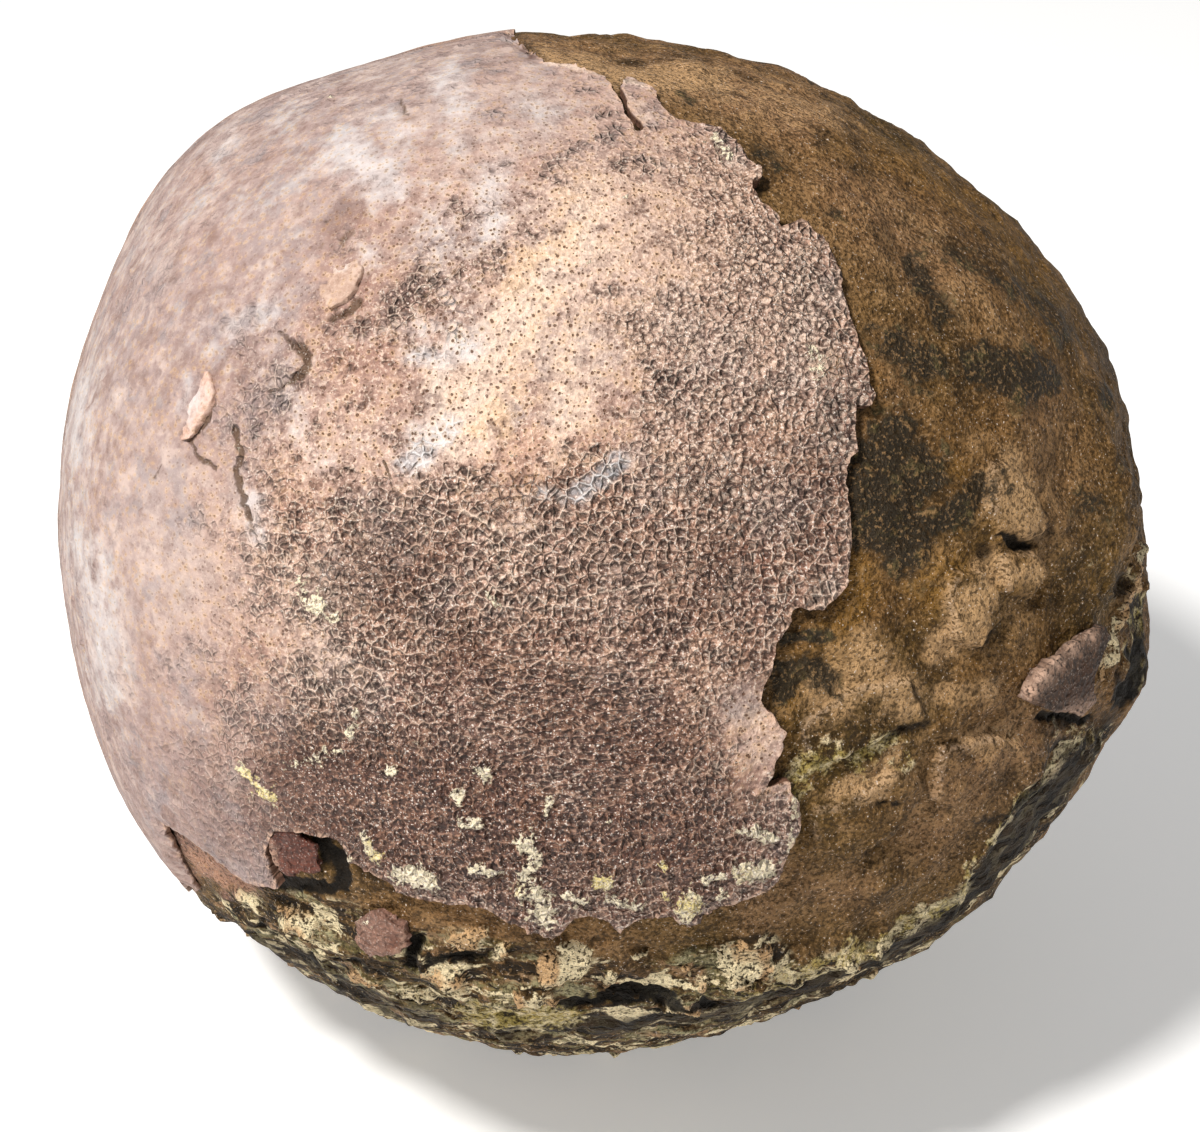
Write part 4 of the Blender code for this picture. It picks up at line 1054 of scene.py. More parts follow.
def stone_material(look):
    """Iron-stained stone with plates, specks and a layered crust round its underside."""
    m = Maker("ironstained_sediment")
    at = m.places()
    drift = m.clouds(at, 5.0, 2.0, output="Color")
    loose = m.shifted(at, drift, 2.5)
    layered = m.shifted(m.places(squeeze=(0.34, 0.34, 1.0), turn=(0, 4, 0)), drift, 1.6)
    broad = m.clouds(at, 30.0, 4.0)
    patchy = m.clouds(loose, 9.0, 5.0, 0.62)
    mottle = m.clouds(at, 2.8, 5.0, 0.68)
    lumpy = m.clouds(loose, 1.5, 3.0, 0.6)
    grain = m.clouds(at, 0.5, 2.0, 0.6)
    dust = m.clouds(at, 0.26, 1.0, 0.5)
    flakes = m.clouds(layered, 2.1, 4.0, 0.6)
    bedded = m.shifted(m.places(squeeze=(0.36, 0.36, 1.0), turn=(0, 3, 0)), drift, 1.4)
    sheets = m.clouds(bedded, 2.0, 3.0, 0.6)

    coats = Coats(m, m.blend(broad.step(0.35, 0.65), look.brown, look.olive))
    coats.lay(m.painted("rosy") * 0.8, look.rosy)
    coats.lay(patchy.step(0.5, 0.72) * 0.5, look.buff)
    coats.lay(patchy.step(0.5, 0.3) * 0.8, look.bark)
    mustard = (m.painted("mustard") + (patchy - 0.5) * 1.1 + (mottle - 0.5) * 1.1).step(0.25, 1.1)
    coats.lay(mustard * 0.5, look.mustard)
    plate = (m.painted("plate") + (mottle - 0.5) * 1.0).step(0.2, 0.8)
    coats.lay(plate * 0.7, look.plate)
    coats.lay(mottle.step(0.52, 0.7) * 0.45, look.buff)
    wear_and_highlight = 1.0 - plate * 0.6
    coats.lay(mottle.step(0.48, 0.32) * 0.5 * wear_and_highlight, look.bark)
    coats.lay(lumpy.step(0.48, 0.34) * 0.4 * wear_and_highlight, look.bark)
    coats.lay(lumpy.step(0.54, 0.7) * 0.3, look.buff)
    # painted highlight along the upper-left edges of the plates
    coats.lay(m.painted("wear_and_highlight") * grain.step(0.36, 0.56) * 0.15, look.crest)
    # manganese stains broken by ochre specks
    stain = m.painted("stain") + (mottle - 0.5) * 1.7 + (lumpy - 0.5) * 0.9 + (grain - 0.5) * 0.5
    stain = stain.step(0.36, 0.66)
    stain_colour = m.blend(mottle.step(0.52, 0.7) * 0.6, look.stain, look.moss)
    speck = (lumpy * 0.5 + grain * 0.25 + mottle * 0.25).step(0.54, 0.6)
    coats.lay(stain * (1.0 - speck * 0.5) * 0.92, stain_colour)
    # painted shade beyond the lower right ridge and along the bottom
    underside_shade = (m.painted("underside_shade") + (patchy - 0.5) * 1.0).step(0.2, 0.9)
    coats.lay(underside_shade * 0.93, look.shade_black)

    # layered crust: pale and yellow-green flakes, with painted shade, near-black, in the gaps between them
    belt = m.painted("belt")
    inside = belt.step(0.1, 0.6)
    lit = 1.0 - underside_shade * 0.92
    coats.lay(inside * 0.45, look.bark)
    tones = m.blend(m.clouds(at, 9.0, 2.0).step(0.42, 0.58), look.moss, look.ash)
    tones = m.blend(m.clouds(at, 5.0, 2.0).step(0.52, 0.62) * 0.8, tones, look.rosy)
    bloom = (flakes + (grain - 0.5) * 0.2 + (patchy - 0.5) * 0.35).step(0.48, 0.6) * inside
    coats.lay(bloom * 0.85 * lit, tones)
    shade_black = flakes.step(0.49, 0.4).highest(sheets.step(0.44, 0.38)) * inside
    coats.lay(shade_black * 0.92, look.shade_black)
    cream = (sheets + (m.clouds(at, 7.0, 2.0) - 0.5) * 0.6 + (grain - 0.5) * 0.15).step(0.56, 0.61) * inside
    coats.lay(cream * 0.85 * lit, look.cream_crust)
    lichen = m.painted("lichen") + (mottle - 0.5) * 2.2 + (lumpy - 0.5) * 1.2 + (grain - 0.5) * 0.9
    lichen = lichen.step(0.6, 1.05)
    lichen_colour = m.blend(mottle.step(0.45, 0.65), look.lichen, look.cream_crust)
    coats.lay(lichen * 0.75, lichen_colour)
    fleck = (m.painted("fleck") + (grain - 0.5) * 0.9 + (mottle - 0.5) * 0.7).step(0.42, 0.62)
    fleck_colour = m.blend(m.clouds(at, 6.0, 1.0).step(0.45, 0.55), look.cream_crust, look.plate)
    fleck_colour = m.blend(grain.step(0.48, 0.36) * 0.7, fleck_colour, look.bark)
    coats.lay(fleck * 0.9, fleck_colour)
    veil = (m.painted("veil") + (mottle - 0.5) * 0.9).step(0.25, 0.8)
    coats.lay(veil * 0.85, m.blend(patchy.step(0.42, 0.58), look.mauve, look.pink))
    # dark and light specks everywhere
    coats.lay(grain.step(0.49, 0.38) * 0.7, look.bark)
    coats.lay(grain.step(0.54, 0.68) * (1.0 - underside_shade) * 0.45, look.buff)
    glint = dust.step(0.64, 0.72) * grain.step(0.5, 0.58) * lit * (1.0 - stain)
    coats.lay(glint * 0.6, look.glint)
    # deep gaps painted near-black as shade
    gap = (m.painted("gap") + (grain - 0.5) * 0.4 + (mottle - 0.5) * 0.5).step(0.3, 0.6)
    coats.lay(gap * 0.96, look.shade_black)
    # painted shade, near-black, at the plates' feet, in the pits and along the shell's edge
    coats.lay(m.painted("hollow_and_shade") * 0.85, look.shade_black)

    height = (
        0.9 * patchy + 1.5 * mottle + 0.75 * lumpy + 0.36 * grain + 0.06 * dust + 0.2 * lichen * mottle
        + 0.3 * fleck * mottle + 1.0 * inside * flakes + 0.3 * cream - 0.3 * shade_black - 0.06 * stain
    )
    roughness = (0.5 + grain * 0.35 - stain * 0.1).clamp()
    return m.finish(coats.colour, roughness, height, look.grain_depth, 1.0, 0.14)


FLOOR_GRAIN = 0.00005


def floor_material():
    """A plain pale floor with a faint light of its own."""
    m = Maker("pale_floor")
    at = m.places()
    soft = m.clouds(at, 260.0, 2.0)
    colour = m.blend(soft, tint(243, 243, 242), tint(249, 249, 248))
    own_light = {"Emission Color": (1.0, 1.0, 1.0, 1.0), "Emission Strength": 0.3}
    return m.finish(colour, 0.85, m.clouds(at, 1.5, 2.0), FLOOR_GRAIN, 0.3, 0.2, **own_light)


# ---- settings -----------------------------------------------------------------------------------
def shade(name, description, red, green, blue):
    return FloatVectorProperty(name=name, description=description, subtype="COLOR", size=3,
                               min=0.0, max=1.0, default=tint(red, green, blue))


class FossilEggSettings(bpy.types.PropertyGroup):
    """Sizes and colours of the fossil egg."""

    crumble: FloatProperty(name="Rim crumble", description="How far the broken shell edge wanders",
                           default=0.0003, min=0.0, max=0.001, unit="LENGTH", subtype="DISTANCE")
    grain_depth: FloatProperty(name="Grain depth", description="Depth of the fine pattern",
                               default=0.001, min=0.0, max=0.003, unit="LENGTH", subtype="DISTANCE")
    crust_height: FloatProperty(name="Crust height", description="How far mineral crust stands proud",
                                default=0.0005, min=0.0, max=0.002, unit="LENGTH", subtype="DISTANCE")
    floor_size: FloatProperty(name="Floor size", description="Side of the pale floor",
                              default=6.0, min=1.0, max=20.0, unit="LENGTH", subtype="DISTANCE")
    mauve: shade("Mauve", "Cool colour of the eggshell", 152, 116, 104)
    pink: shade("Pink brown", "Warm colour of the eggshell", 184, 138, 114)
    umber: shade("Umber", "Brown of worn shell", 114, 82, 64)
    pale: shade("Pale", "Light worn shell", 210, 188, 176)
    rust: shade("Rust", "Red-brown staining", 142, 88, 66)
    # plum staining; over the lower half it is painted shade
    plum: shade("Plum", "Dark purple-brown staining", 72, 46, 35)
    cream: shade("Cream", "Porous cream patch", 234, 208, 186)
    yellow: shade("Yellow", "Yellow staining", 214, 174, 124)
    slate: shade("Slate", "Blue-grey film", 142, 138, 142)
    tan: shade("Tan", "Light mottling", 204, 166, 136)
    # painted shade and staining: tint that darkens the lower and plum-stained parts
    stain_and_shade_tint: shade("Grime", "Tint of the dirtier low parts of the shell", 184, 154, 138)
    # painted shade in the hollows of the shell, also the colour of its dark joints and specks
    gap: shade("Gap", "Dark in the hollows of the shell", 50, 32, 25)
    # painted highlight on the raised net, ridges and grains, also the colour of pale veins and specks
    crest: shade("Crest", "Light on the raised net and grains", 242, 216, 194)
    # brown dirt in cracks and pits, also painted shadow along raised edges
    dirt_and_shade: shade("Dirt", "Brown earth in cracks and pits", 78, 54, 32)
    film: shade("Film", "Dusty rose-grey of the worn side", 164, 146, 143)
    haze: shade("Haze", "White mineral film", 216, 214, 214)
    pore: shade("Pore", "Dark inside the pores", 92, 58, 36)
    # painted glints: tiny highlights on clean crystals
    glint: shade("Glint", "Tiny clean crystals", 244, 232, 220)
    crust: shade("Crust", "Cream mineral crust", 240, 226, 192)
    sulphur: shade("Sulphur", "Yellow mineral crust", 222, 200, 112)
    # worn lip with a painted highlight
    lip_wear_and_highlight: shade("Lip", "Worn light lip of the broken shell", 206, 170, 146)
    broken: shade("Broken shell", "Side of the broken shell", 106, 74, 58)
    brown: shade("Sediment brown", "Main colour of the stone", 114, 82, 44)
    olive: shade("Sediment olive", "Greener colour of the stone", 90, 68, 28)
    buff: shade("Sediment buff", "Light mottling of the stone", 168, 132, 90)
    bark: shade("Sediment dark", "Dark mottling of the stone", 48, 34, 14)
    plate: shade("Plate", "Tan of the raised plates", 202, 163, 118)
    rosy: shade("Rosy brown", "Pinkish brown stone", 158, 120, 88)
    ash: shade("Ash", "Grey-green film in the layered crust", 158, 152, 116)
    cream_crust: shade("Cream crust", "Pale flakes of the layered crust", 240, 222, 180)
    mustard: shade("Mustard", "Iron-yellow staining", 146, 104, 34)
    stain: shade("Stain", "Black-green manganese staining", 36, 34, 27)
    moss: shade("Moss", "Olive in the stains", 104, 94, 56)
    # painted shade: the near-black of gaps, the shaded underside and places under edges
    shade_black: shade("Soot", "Near-black in gaps", 20, 16, 11)
    lichen: shade("Lichen", "Yellow-green growth", 178, 158, 84)


# ---- operators ----------------------------------------------------------------------------------
class Rim:
    """Distance from the shell's broken edge, in millimetres along the surface."""

    def __init__(self, cover):
        directions, edges = even_grid(RIM_LEVEL)
        points = refine(cover, directions, cover(directions), edges)[0]
        self.tree = KDTree(len(points))
        for i, point in enumerate(points):
            self.tree.insert(Vector(point), i)
        self.tree.balance()

    def __call__(self, directions):
        find = self.tree.find
        return np.array([find(Vector(d))[2] for d in directions]) * REACH


def refine(cover, co, inside, edges):
    """Where the edges cross the shell's edge: the point, its share from inside, and both ends."""
    cross = edges[inside[edges[:, 0]] != inside[edges[:, 1]]]
    first_inside = inside[cross[:, 0]]
    a = np.where(first_inside, cross[:, 0], cross[:, 1])
    b = np.where(first_inside, cross[:, 1], cross[:, 0])

    def point(t):
        return unit(co[a] + (co[b] - co[a]) * t[:, None])

    low, high = np.zeros(len(cross)), np.ones(len(cross))
    for _ in range(RIM_HALVINGS):
        t = (low + high) / 2
        hit = cover(point(t))
        low, high = np.where(hit, t, low), np.where(hit, high, t)
    t = (low + high) / 2
    return point(t), t, a, b


# Markings of the shell out of the front view: name, size of its patches, seed, start, amount.
UNSEEN_SHELL = (
    ("pore", 26.0, 101, -0.3, 0.9), ("cobble", 12.0, 103, 0.5, 0.9), ("ochre", 18.0, 105, 0.45, 0.7),
    ("haze", 9.0, 107, 0.5, 0.8), ("slate", 11.0, 109, 0.35, 0.7), ("rust", 13.0, 113, 0.4, 0.6),
    ("pale", 24.0, 115, 0.2, 0.6), ("granule", 16.0, 119, 0.3, 0.7),
)


def shell_marks(points, flat, facing):
    """Strength of every marking of the eggshell at points about the centre."""
    loose_flat = wandering(flat, points, 1.8, 6.0, 301)
    close_flat = wandering(flat, points, 0.9, 2.2, 331)
    fine_flat = wandering(flat, points, 0.35, 1.4, 351)
    tables = (
        (flat, (("vein", VEINS),)),
        (fine_flat, (("dirt_and_shade", DIRT_AND_SHADE), ("crust", CRUST), ("net", NET_ZONE))),
        (close_flat, (("sulphur", SULPHUR), ("haze", HAZE))),
        (loose_flat, (
            ("ochre", OCHRE), ("yellow", YELLOW), ("slate", SLATE), ("plum", PLUM), ("rust", RUST),
            ("pale", PALE), ("pore", PORE_ZONE), ("cobble", COBBLE_ZONE), ("ripple", RIPPLE_ZONE),
            ("granule", GRANULE_ZONE),
        )),
    )
    marks = {name: painted(where, facing, rows) for where, group in tables for name, rows in group}
    unseen = smooth(0.1, -0.05, facing)
    low = smooth(0.6, -0.4, unit(points)[:, 2])
    for name, size, seed, start, amount in UNSEEN_SHELL:
        marks[name] += unseen * smooth(start, start + 0.6, cloud(points, size, seed)) * amount
    # out of view, the lower parts get more plum: staining with painted shade
    marks["plum"] += unseen * smooth(0.2, 1.0, cloud(points, 19.0, 111)) * low * 0.8
    marks["crust"] += unseen * smooth(0.85, 1.2, cloud(points, 6.0, 117)) * low
    # the lower half is darker all over, a painted shade laid in with the plum staining
    x, y = flat[:, 0], flat[:, 1]
    darker = 0.4 * smooth(0, -40, y) * smooth(60, 20, np.abs(x + 10)) * smooth(-0.05, 0.1, facing)
    marks["plum"] = np.clip(marks["plum"] + darker, 0, 1.2)
    marks["calm"] = out_of_focus(flat, facing)
    return marks


# Markings of the stone out of the front view: name, size of its patches, seed, start, full, amount.
UNSEEN_STONE = (
    ("stain", 15.0, 41, 0.55, 1.0, 0.9), ("mustard", 22.0, 43, 0.3, 0.9, 0.7),
    ("lichen", 9.0, 47, 0.35, 0.9, 0.8), ("plate", 17.0, 53, 0.35, 0.9, 0.7),
    ("rosy", 26.0, 57, 0.1, 0.8, 0.8), ("fleck", 4.0, 59, 0.62, 0.95, 1.0),
)


class FOSSILEGG_OT_stone_core(bpy.types.Operator):
    """Model the bare sediment core with its plates, ridges, crust and stains"""

    bl_idname = "fossilegg.stone_core"
    bl_label = "Stone core"

    def execute(self, context):
        look = context.scene.fossil_egg
        cover = Cover()
        rim = Rim(cover)

        def bare(d):
            return ~cover(d) | (rim(d) < RIM_WIDTH)

        def front_bare(d):
            out = sketched(d * REACH)[1] > -0.12
            out[out] = bare(d[out])
            return out

        def crust_band(d):
            flat, facing = sketched(d * REACH)
            x, y = flat[:, 0], flat[:, 1]
            low = (facing > 0.03) & (y < -52.5) & (x < 42)
            edge = (facing > 0.2) & (x > 26) & (x < 58) & (y > -32) & (y < -4)
            out = low | edge
            out[out] = bare(d[out])
            return out

        obj = ball("stone_core_dressed", (bare, bare, front_bare, crust_band))
        d = unit(corners_of(obj.data))
        covered = cover(d)
        away = rim(d)
        share = np.where(covered, 0.0, np.clip((away - 5.0) / 4.0, 0.0, 1.0))
        near_share = np.where(covered, 0.0, smooth(0.2, 2.5, away))
        base = body_radius(d) - SHELL_THICKNESS - FIT_GAP
        uneven = 0.75 * np.array([noise.fractal(Vector(v), 0.8, 2.0, 3) for v in d * 9.0])
        radius = base + share * (stone_relief(d) + uneven - 0.15)
        points = d * REACH
        flat, facing = sketched(points)
        x, y = flat[:, 0], flat[:, 1]
        hollow_and_shade, wear_and_highlight = np.zeros(len(d)), np.zeros(len(d))
        shaken = flat + np.stack((cloud(points, 3.0, 61), cloud(points, 3.0, 67)), axis=1) * 0.5
        for outline, height in LEDGES:
            inside = within(shaken, outline)
            up = smooth(-0.55, 0.35, inside) * (facing > 0.0)
            top = base + height + 0.25 * cloud(points, 5.0, 71)
            radius = np.where(up > 0, np.maximum(radius, radius + (top - radius) * up), radius)
            # painted shadow at the foot on the lower right, painted highlight along the edge on the upper
            # left
            beyond = within(flat + (-0.9, 0.7), outline)
            before = within(flat + (-0.5, 0.5), outline)
            foot = smooth(-0.1, 0.3, -inside) * smooth(-0.3, 0.4, beyond) * (facing > 0)
            edge = smooth(-0.4, 0.2, inside) * smooth(-0.2, 0.4, -before) * (facing > 0)
            hollow_and_shade, wear_and_highlight = np.maximum(hollow_and_shade, foot), np.maximum(wear_and_highlight, edge)
        for across, up, r in PITS:
            gone = length(flat - (across, up)) + (facing < 0.0) * OUT_OF_REACH
            depth = np.sqrt(np.clip(r * r - gone * gone, 0, None))
            radius -= depth * 0.75
            # painted shade in the pits
            hollow_and_shade = np.maximum(hollow_and_shade, smooth(0.0, 0.7, depth))
        # the layered crust round the underside
        line = placed(BELT_TOP)
        under = np.interp(x, line[:, 0], line[:, 1]) + 1.2 * cloud(points, 9.0, 3) - y
        seen = smooth(-0.05, 0.1, facing)
        low = smooth(-0.35, -0.7, d[:, 2] + 0.06 * cloud(points, 20.0, 5))
        belt = seen * smooth(-1.5, 2.0, under) + (1.0 - seen) * low
        layers = 0.45 * cloud(points * (0.35, 0.35, 1.0), 2.4, 11, 3)
        layers += 0.25 * np.abs(cloud(points * (0.4, 0.4, 1.0), 4.0, 13))
        radius += near_share * belt * layers
        coarse = 1.0 + 1.3 * smooth(40, 15, y) * seen
        smoother = 1.0 - 0.6 * smooth(5, 30, y) * smooth(-0.3, 0.0, facing)
        rough = coarse * (0.16 * cloud(points, 4.0, 21) + 0.10 * cloud(points, 1.6, 23, 2))
        rough += (coarse - 1.0) * 0.3 * cloud(points, 9.0, 25)
        radius += near_share * smoother * rough
        # streaks along the lower right ridge, long one way and short across
        along = points @ unit(np.array((1.0, 0.3, 0.55))) * 0.2
        over = points @ unit(np.array((-0.55, 0.0, 1.0)))
        streak = cloud(np.stack((along, over, points[:, 1]), axis=1), 2.6, 27)
        lower_right = smooth(20, 40, x) * smooth(-34, -42, y) * (facing > -0.1)
        radius += near_share * lower_right * 0.22 * streak
        loose_flat = wandering(flat, points, 1.3, 5.0, 201)
        close_flat = wandering(flat, points, 0.8, 2.4, 231)
        tables = (
            (loose_flat, (("stain", STAIN), ("mustard", MUSTARD), ("plate", PLATE), ("underside_shade", UNDERSIDE_SHADE),
                          ("rosy", ROSY), ("veil", VEIL))),
            (close_flat, (("lichen", LICHEN), ("fleck", FLECKS), ("gap", GAPS))),
        )
        marks = {name: painted(where, facing, rows) for where, group in tables for name, rows in group}
        # the parts out of the front view carry the same kinds of marks
        unseen = smooth(0.08, -0.06, facing)
        damp = smooth(0.1, -0.5, d[:, 2])
        for name, size, seed, start, full, amount in UNSEEN_STONE:
            place = {"lichen": damp, "fleck": low}.get(name, 1.0)
            marks[name] += unseen * smooth(start, full, cloud(points, size, seed)) * place * amount
        growth = smooth(0.35, 0.7, marks["lichen"] + 0.35 * cloud(points, 1.5, 31, 2))
        crumbs = smooth(0.35, 0.75, marks["fleck"] + 0.3 * cloud(points, 1.3, 33, 2))
        radius += near_share * look.crust_height / MM * (0.9 * growth * 0.6 + 1.6 * crumbs)
        radius -= near_share * 0.8 * smooth(0.2, 0.9, marks["gap"])
        for path, reach, height in BANKS:
            near = from_marks(d, along_front(placed(path)))
            radius += height * np.exp(-(near / reach) ** 2) * ~covered
        # nothing reaches below the floor
        floor_at = np.where(d[:, 2] < -0.01, CENTRE_HEIGHT / np.clip(-d[:, 2], 0.01, None), FAR_AWAY)
        radius = np.minimum(radius, floor_at)
        set_corners(obj.data, (CENTRE + d * radius[:, None]) * MM)
        for name, values in marks.items():
            attribute(obj.data, name, values)
        attribute(obj.data, "belt", belt * near_share)
        # painted shade under the shell's edge and in a band just beyond it
        shadow = np.where(covered, 1.0, smooth(1.8, 0.0, away) * 0.6)
        attribute(obj.data, "hollow_and_shade", np.clip(np.maximum(hollow_and_shade * 0.85, shadow), 0, 1))
        attribute(obj.data, "wear_and_highlight", wear_and_highlight)
        finish_piece(obj, ("stone_core",), stone_material(look))
        return {"FINISHED"}


# Steps inward of the shell's broken side (mm); the last one ends on its inner face.
RIM_DROPS = (0.3, 0.35, 0.35, None)


class FOSSILEGG_OT_eggshell(bpy.types.Operator):
    """Model the thin pitted eggshell with its jagged broken rim, crack and slit"""

    bl_idname = "fossilegg.eggshell"
    bl_label = "Eggshell"

    def execute(self, context):
        look = context.scene.fossil_egg
        cover = Cover()
        rim = Rim(cover)

        def shelled(d):
            return cover(d) | (rim(d) < RIM_WIDTH)

        def front_shell(d):
            out = sketched(d * REACH)[1] > -0.05
            out[out] = shelled(d[out])
            return out

        def crisp(d):
            flat, facing = sketched(d * REACH)
            x, y = flat[:, 0], flat[:, 1]
            front = facing > 0.0
            lower = (y < 12) & (x > -34) & (facing > 0.3)
            left = (np.abs(x + 48) < 8) & (np.abs(y - 14) < 16)
            near = np.zeros(len(d), bool)
            near[front] = rim(d[front]) < 3.5
            out = near | lower | left
            out[out] = shelled(d[out])
            return out

        obj = ball("eggshell_dressed", (shelled, shelled, front_shell, crisp))
        mesh = obj.data
        co = unit(corners_of(mesh))
        inside = cover(co)
        at, share, a, b = refine(cover, co, inside, edges_of(mesh))
        moved = np.where(share < 0.5, a, b)
        far = np.where(share < 0.5, share, 1 - share)
        order = np.argsort(-far)
        new = co.copy()
        new[moved[order]] = at[order]
        kept = inside.copy()
        kept[moved] = True
        on_rim = np.zeros(len(co), bool)
        on_rim[moved] = True
        tri = triangles_of(mesh)
        held = kept[tri].all(axis=1)
        off = np.zeros(len(tri), bool)
        off[held] = ~cover(unit(new[tri[held]].mean(axis=1)))
        # crumbled edge: the rim wanders a little along the surface
        front_rim = sketched(new * REACH)[1] > -0.05
        wander = np.stack([cloud(new * REACH, 1.6, s, 3) for s in (81, 83, 87)], axis=1)
        wander -= (wander * new).sum(axis=1)[:, None] * new
        scale = np.where(front_rim, 1.0, 2.0) * look.crumble / MM / REACH
        new = np.where(on_rim[:, None], unit(new + wander * scale[:, None]), new)
        set_corners(mesh, new)
        bm = bmesh.new()
        bm.from_mesh(mesh)
        bmesh.ops.delete(bm, geom=[f for f in bm.faces if off[f.index]], context="FACES_ONLY")
        bmesh.ops.delete(bm, geom=[v for v in bm.verts if not kept[v.index]], context="VERTS")
        drop_bare_corners(bm)
        largest_part(bm)
        split_pinches(bm)
        bm.to_mesh(mesh)
        bm.free()
        d = unit(corners_of(mesh))
        set_corners(mesh, d * body_radius(d)[:, None])
        # the broken side: the rim drawn inward in rough steps
        pick(obj)
        bpy.ops.object.mode_set(mode="EDIT")
        bpy.ops.mesh.select_mode(type="EDGE")
        bpy.ops.mesh.select_all(action="DESELECT")
        bpy.ops.mesh.select_non_manifold(
            extend=False, use_wire=False, use_boundary=True, use_multi_face=False,
            use_non_contiguous=False, use_verts=False)
        for number, drop in enumerate(RIM_DROPS):
            bpy.ops.mesh.extrude_region()
            bm = bmesh.from_edit_mesh(mesh)
            ring = [v for v in bm.verts if v.select]
            where = np.array([v.co for v in ring])
            out = unit(where)
            if drop is None:
                tall = body_radius(out) - SHELL_THICKNESS
            else:
                wobble = cloud(out * REACH, 0.8, 91 + number, 2)
                tall = length(where) - drop * (1.0 + 0.25 * wobble)
            for v, p in zip(ring, out * tall[:, None]):
                v.co = p
        bmesh.update_edit_mesh(mesh)
        bpy.ops.object.mode_set(mode="OBJECT")
        close_inside(obj, cover, rim)
        co = corners_of(mesh)
        d = unit(co)
        depth = np.clip((body_radius(d) - length(co)) / SHELL_THICKNESS, 0, 1)
        depth[depth < 0.02] = 0.0
        points = d * REACH
        flat, facing = sketched(co)
        outer = 1.0 - smooth(0.0, 0.6, depth)
        marks = shell_marks(points, flat, facing)
        gone = rim(d)
        # a worn lip round the rim, lighter also as a painted highlight
        lip_wear_and_highlight = (1 - smooth(0.2, 0.55, gone + 0.15 * cloud(points, 1.2, 129, 2))) * outer
        lift = 0.22 * cloud(points, 15.0, 121) + 0.12 * cloud(points, 5.0, 123)
        fine = smooth(-0.02, 0.2, facing)
        waves = 0.07 * cloud(points, 1.9, 125, 2) + 0.05 * cloud(points, 0.9, 128, 1)
        lift += fine * (1.0 - 0.7 * marks["calm"]) * waves
        recess = within(flat, placed(RECESS_LEFT, RECESS_STEPS_IN_MM))
        lift -= RECESS_DEPTH * smooth(-0.3, 0.3, recess) * (facing > 0)
        crust = smooth(0.3, 0.75, marks["crust"] + 0.55 * cloud(points, 1.1, 127, 2))
        lift += look.crust_height / MM * crust * fine
        lift += 0.08 * smooth(0.3, 0.8, marks["vein"]) - 0.2 * smooth(0.3, 0.9, marks["dirt_and_shade"])
        for spot, reach, height in CURLS:
            close = length(flat - placed((spot,))) + (facing < 0) * OUT_OF_REACH
            lift += height * np.exp(-(close / reach) ** 2) * smooth(3.0, 0.0, gone)
        co += d * (lift * (1.0 - smooth(0.55, 1.0, depth)))[:, None]
        set_corners(mesh, (CENTRE + co) * MM)
        for name, values in marks.items():
            attribute(mesh, name, values)
        attribute(mesh, "lip_wear_and_highlight", lip_wear_and_highlight)
        attribute(mesh, "wall", np.clip(depth, 0, 1))
        add_skin(mesh, co)
        finish_piece(obj, ("eggshell",), shell_material(look), 60.0)
        return {"FINISHED"}


def drop_bare_corners(bm):
    bmesh.ops.delete(bm, geom=[v for v in bm.verts if not v.link_faces], context="VERTS")


def largest_part(bm):
    """Keep only the biggest joined part of a sheet."""
    left, best = set(bm.verts), set()
    while left:
        group = {left.pop()}
        todo = list(group)
        while todo:
            for edge in todo.pop().link_edges:
                for v in edge.verts:
                    if v not in group:
                        group.add(v)
                        todo.append(v)
        left -= group
        if len(group) > len(best):
            best = group
    bmesh.ops.delete(bm, geom=[v for v in bm.verts if v not in best], context="VERTS")


def split_pinches(bm):
    """Trim faces that hang on the sheet by a single corner, so that its edge is one clean loop."""
    for _ in range(6):
        bad = set()
        for v in bm.verts:
            if sum(e.is_boundary for e in v.link_edges) > 2:
                bad.update(sorted(v.link_faces, key=lambda f: sum(e.is_boundary for e in f.edges))[-1:])
        if not bad:
            return
        bmesh.ops.delete(bm, geom=list(bad), context="FACES")
        drop_bare_corners(bm)


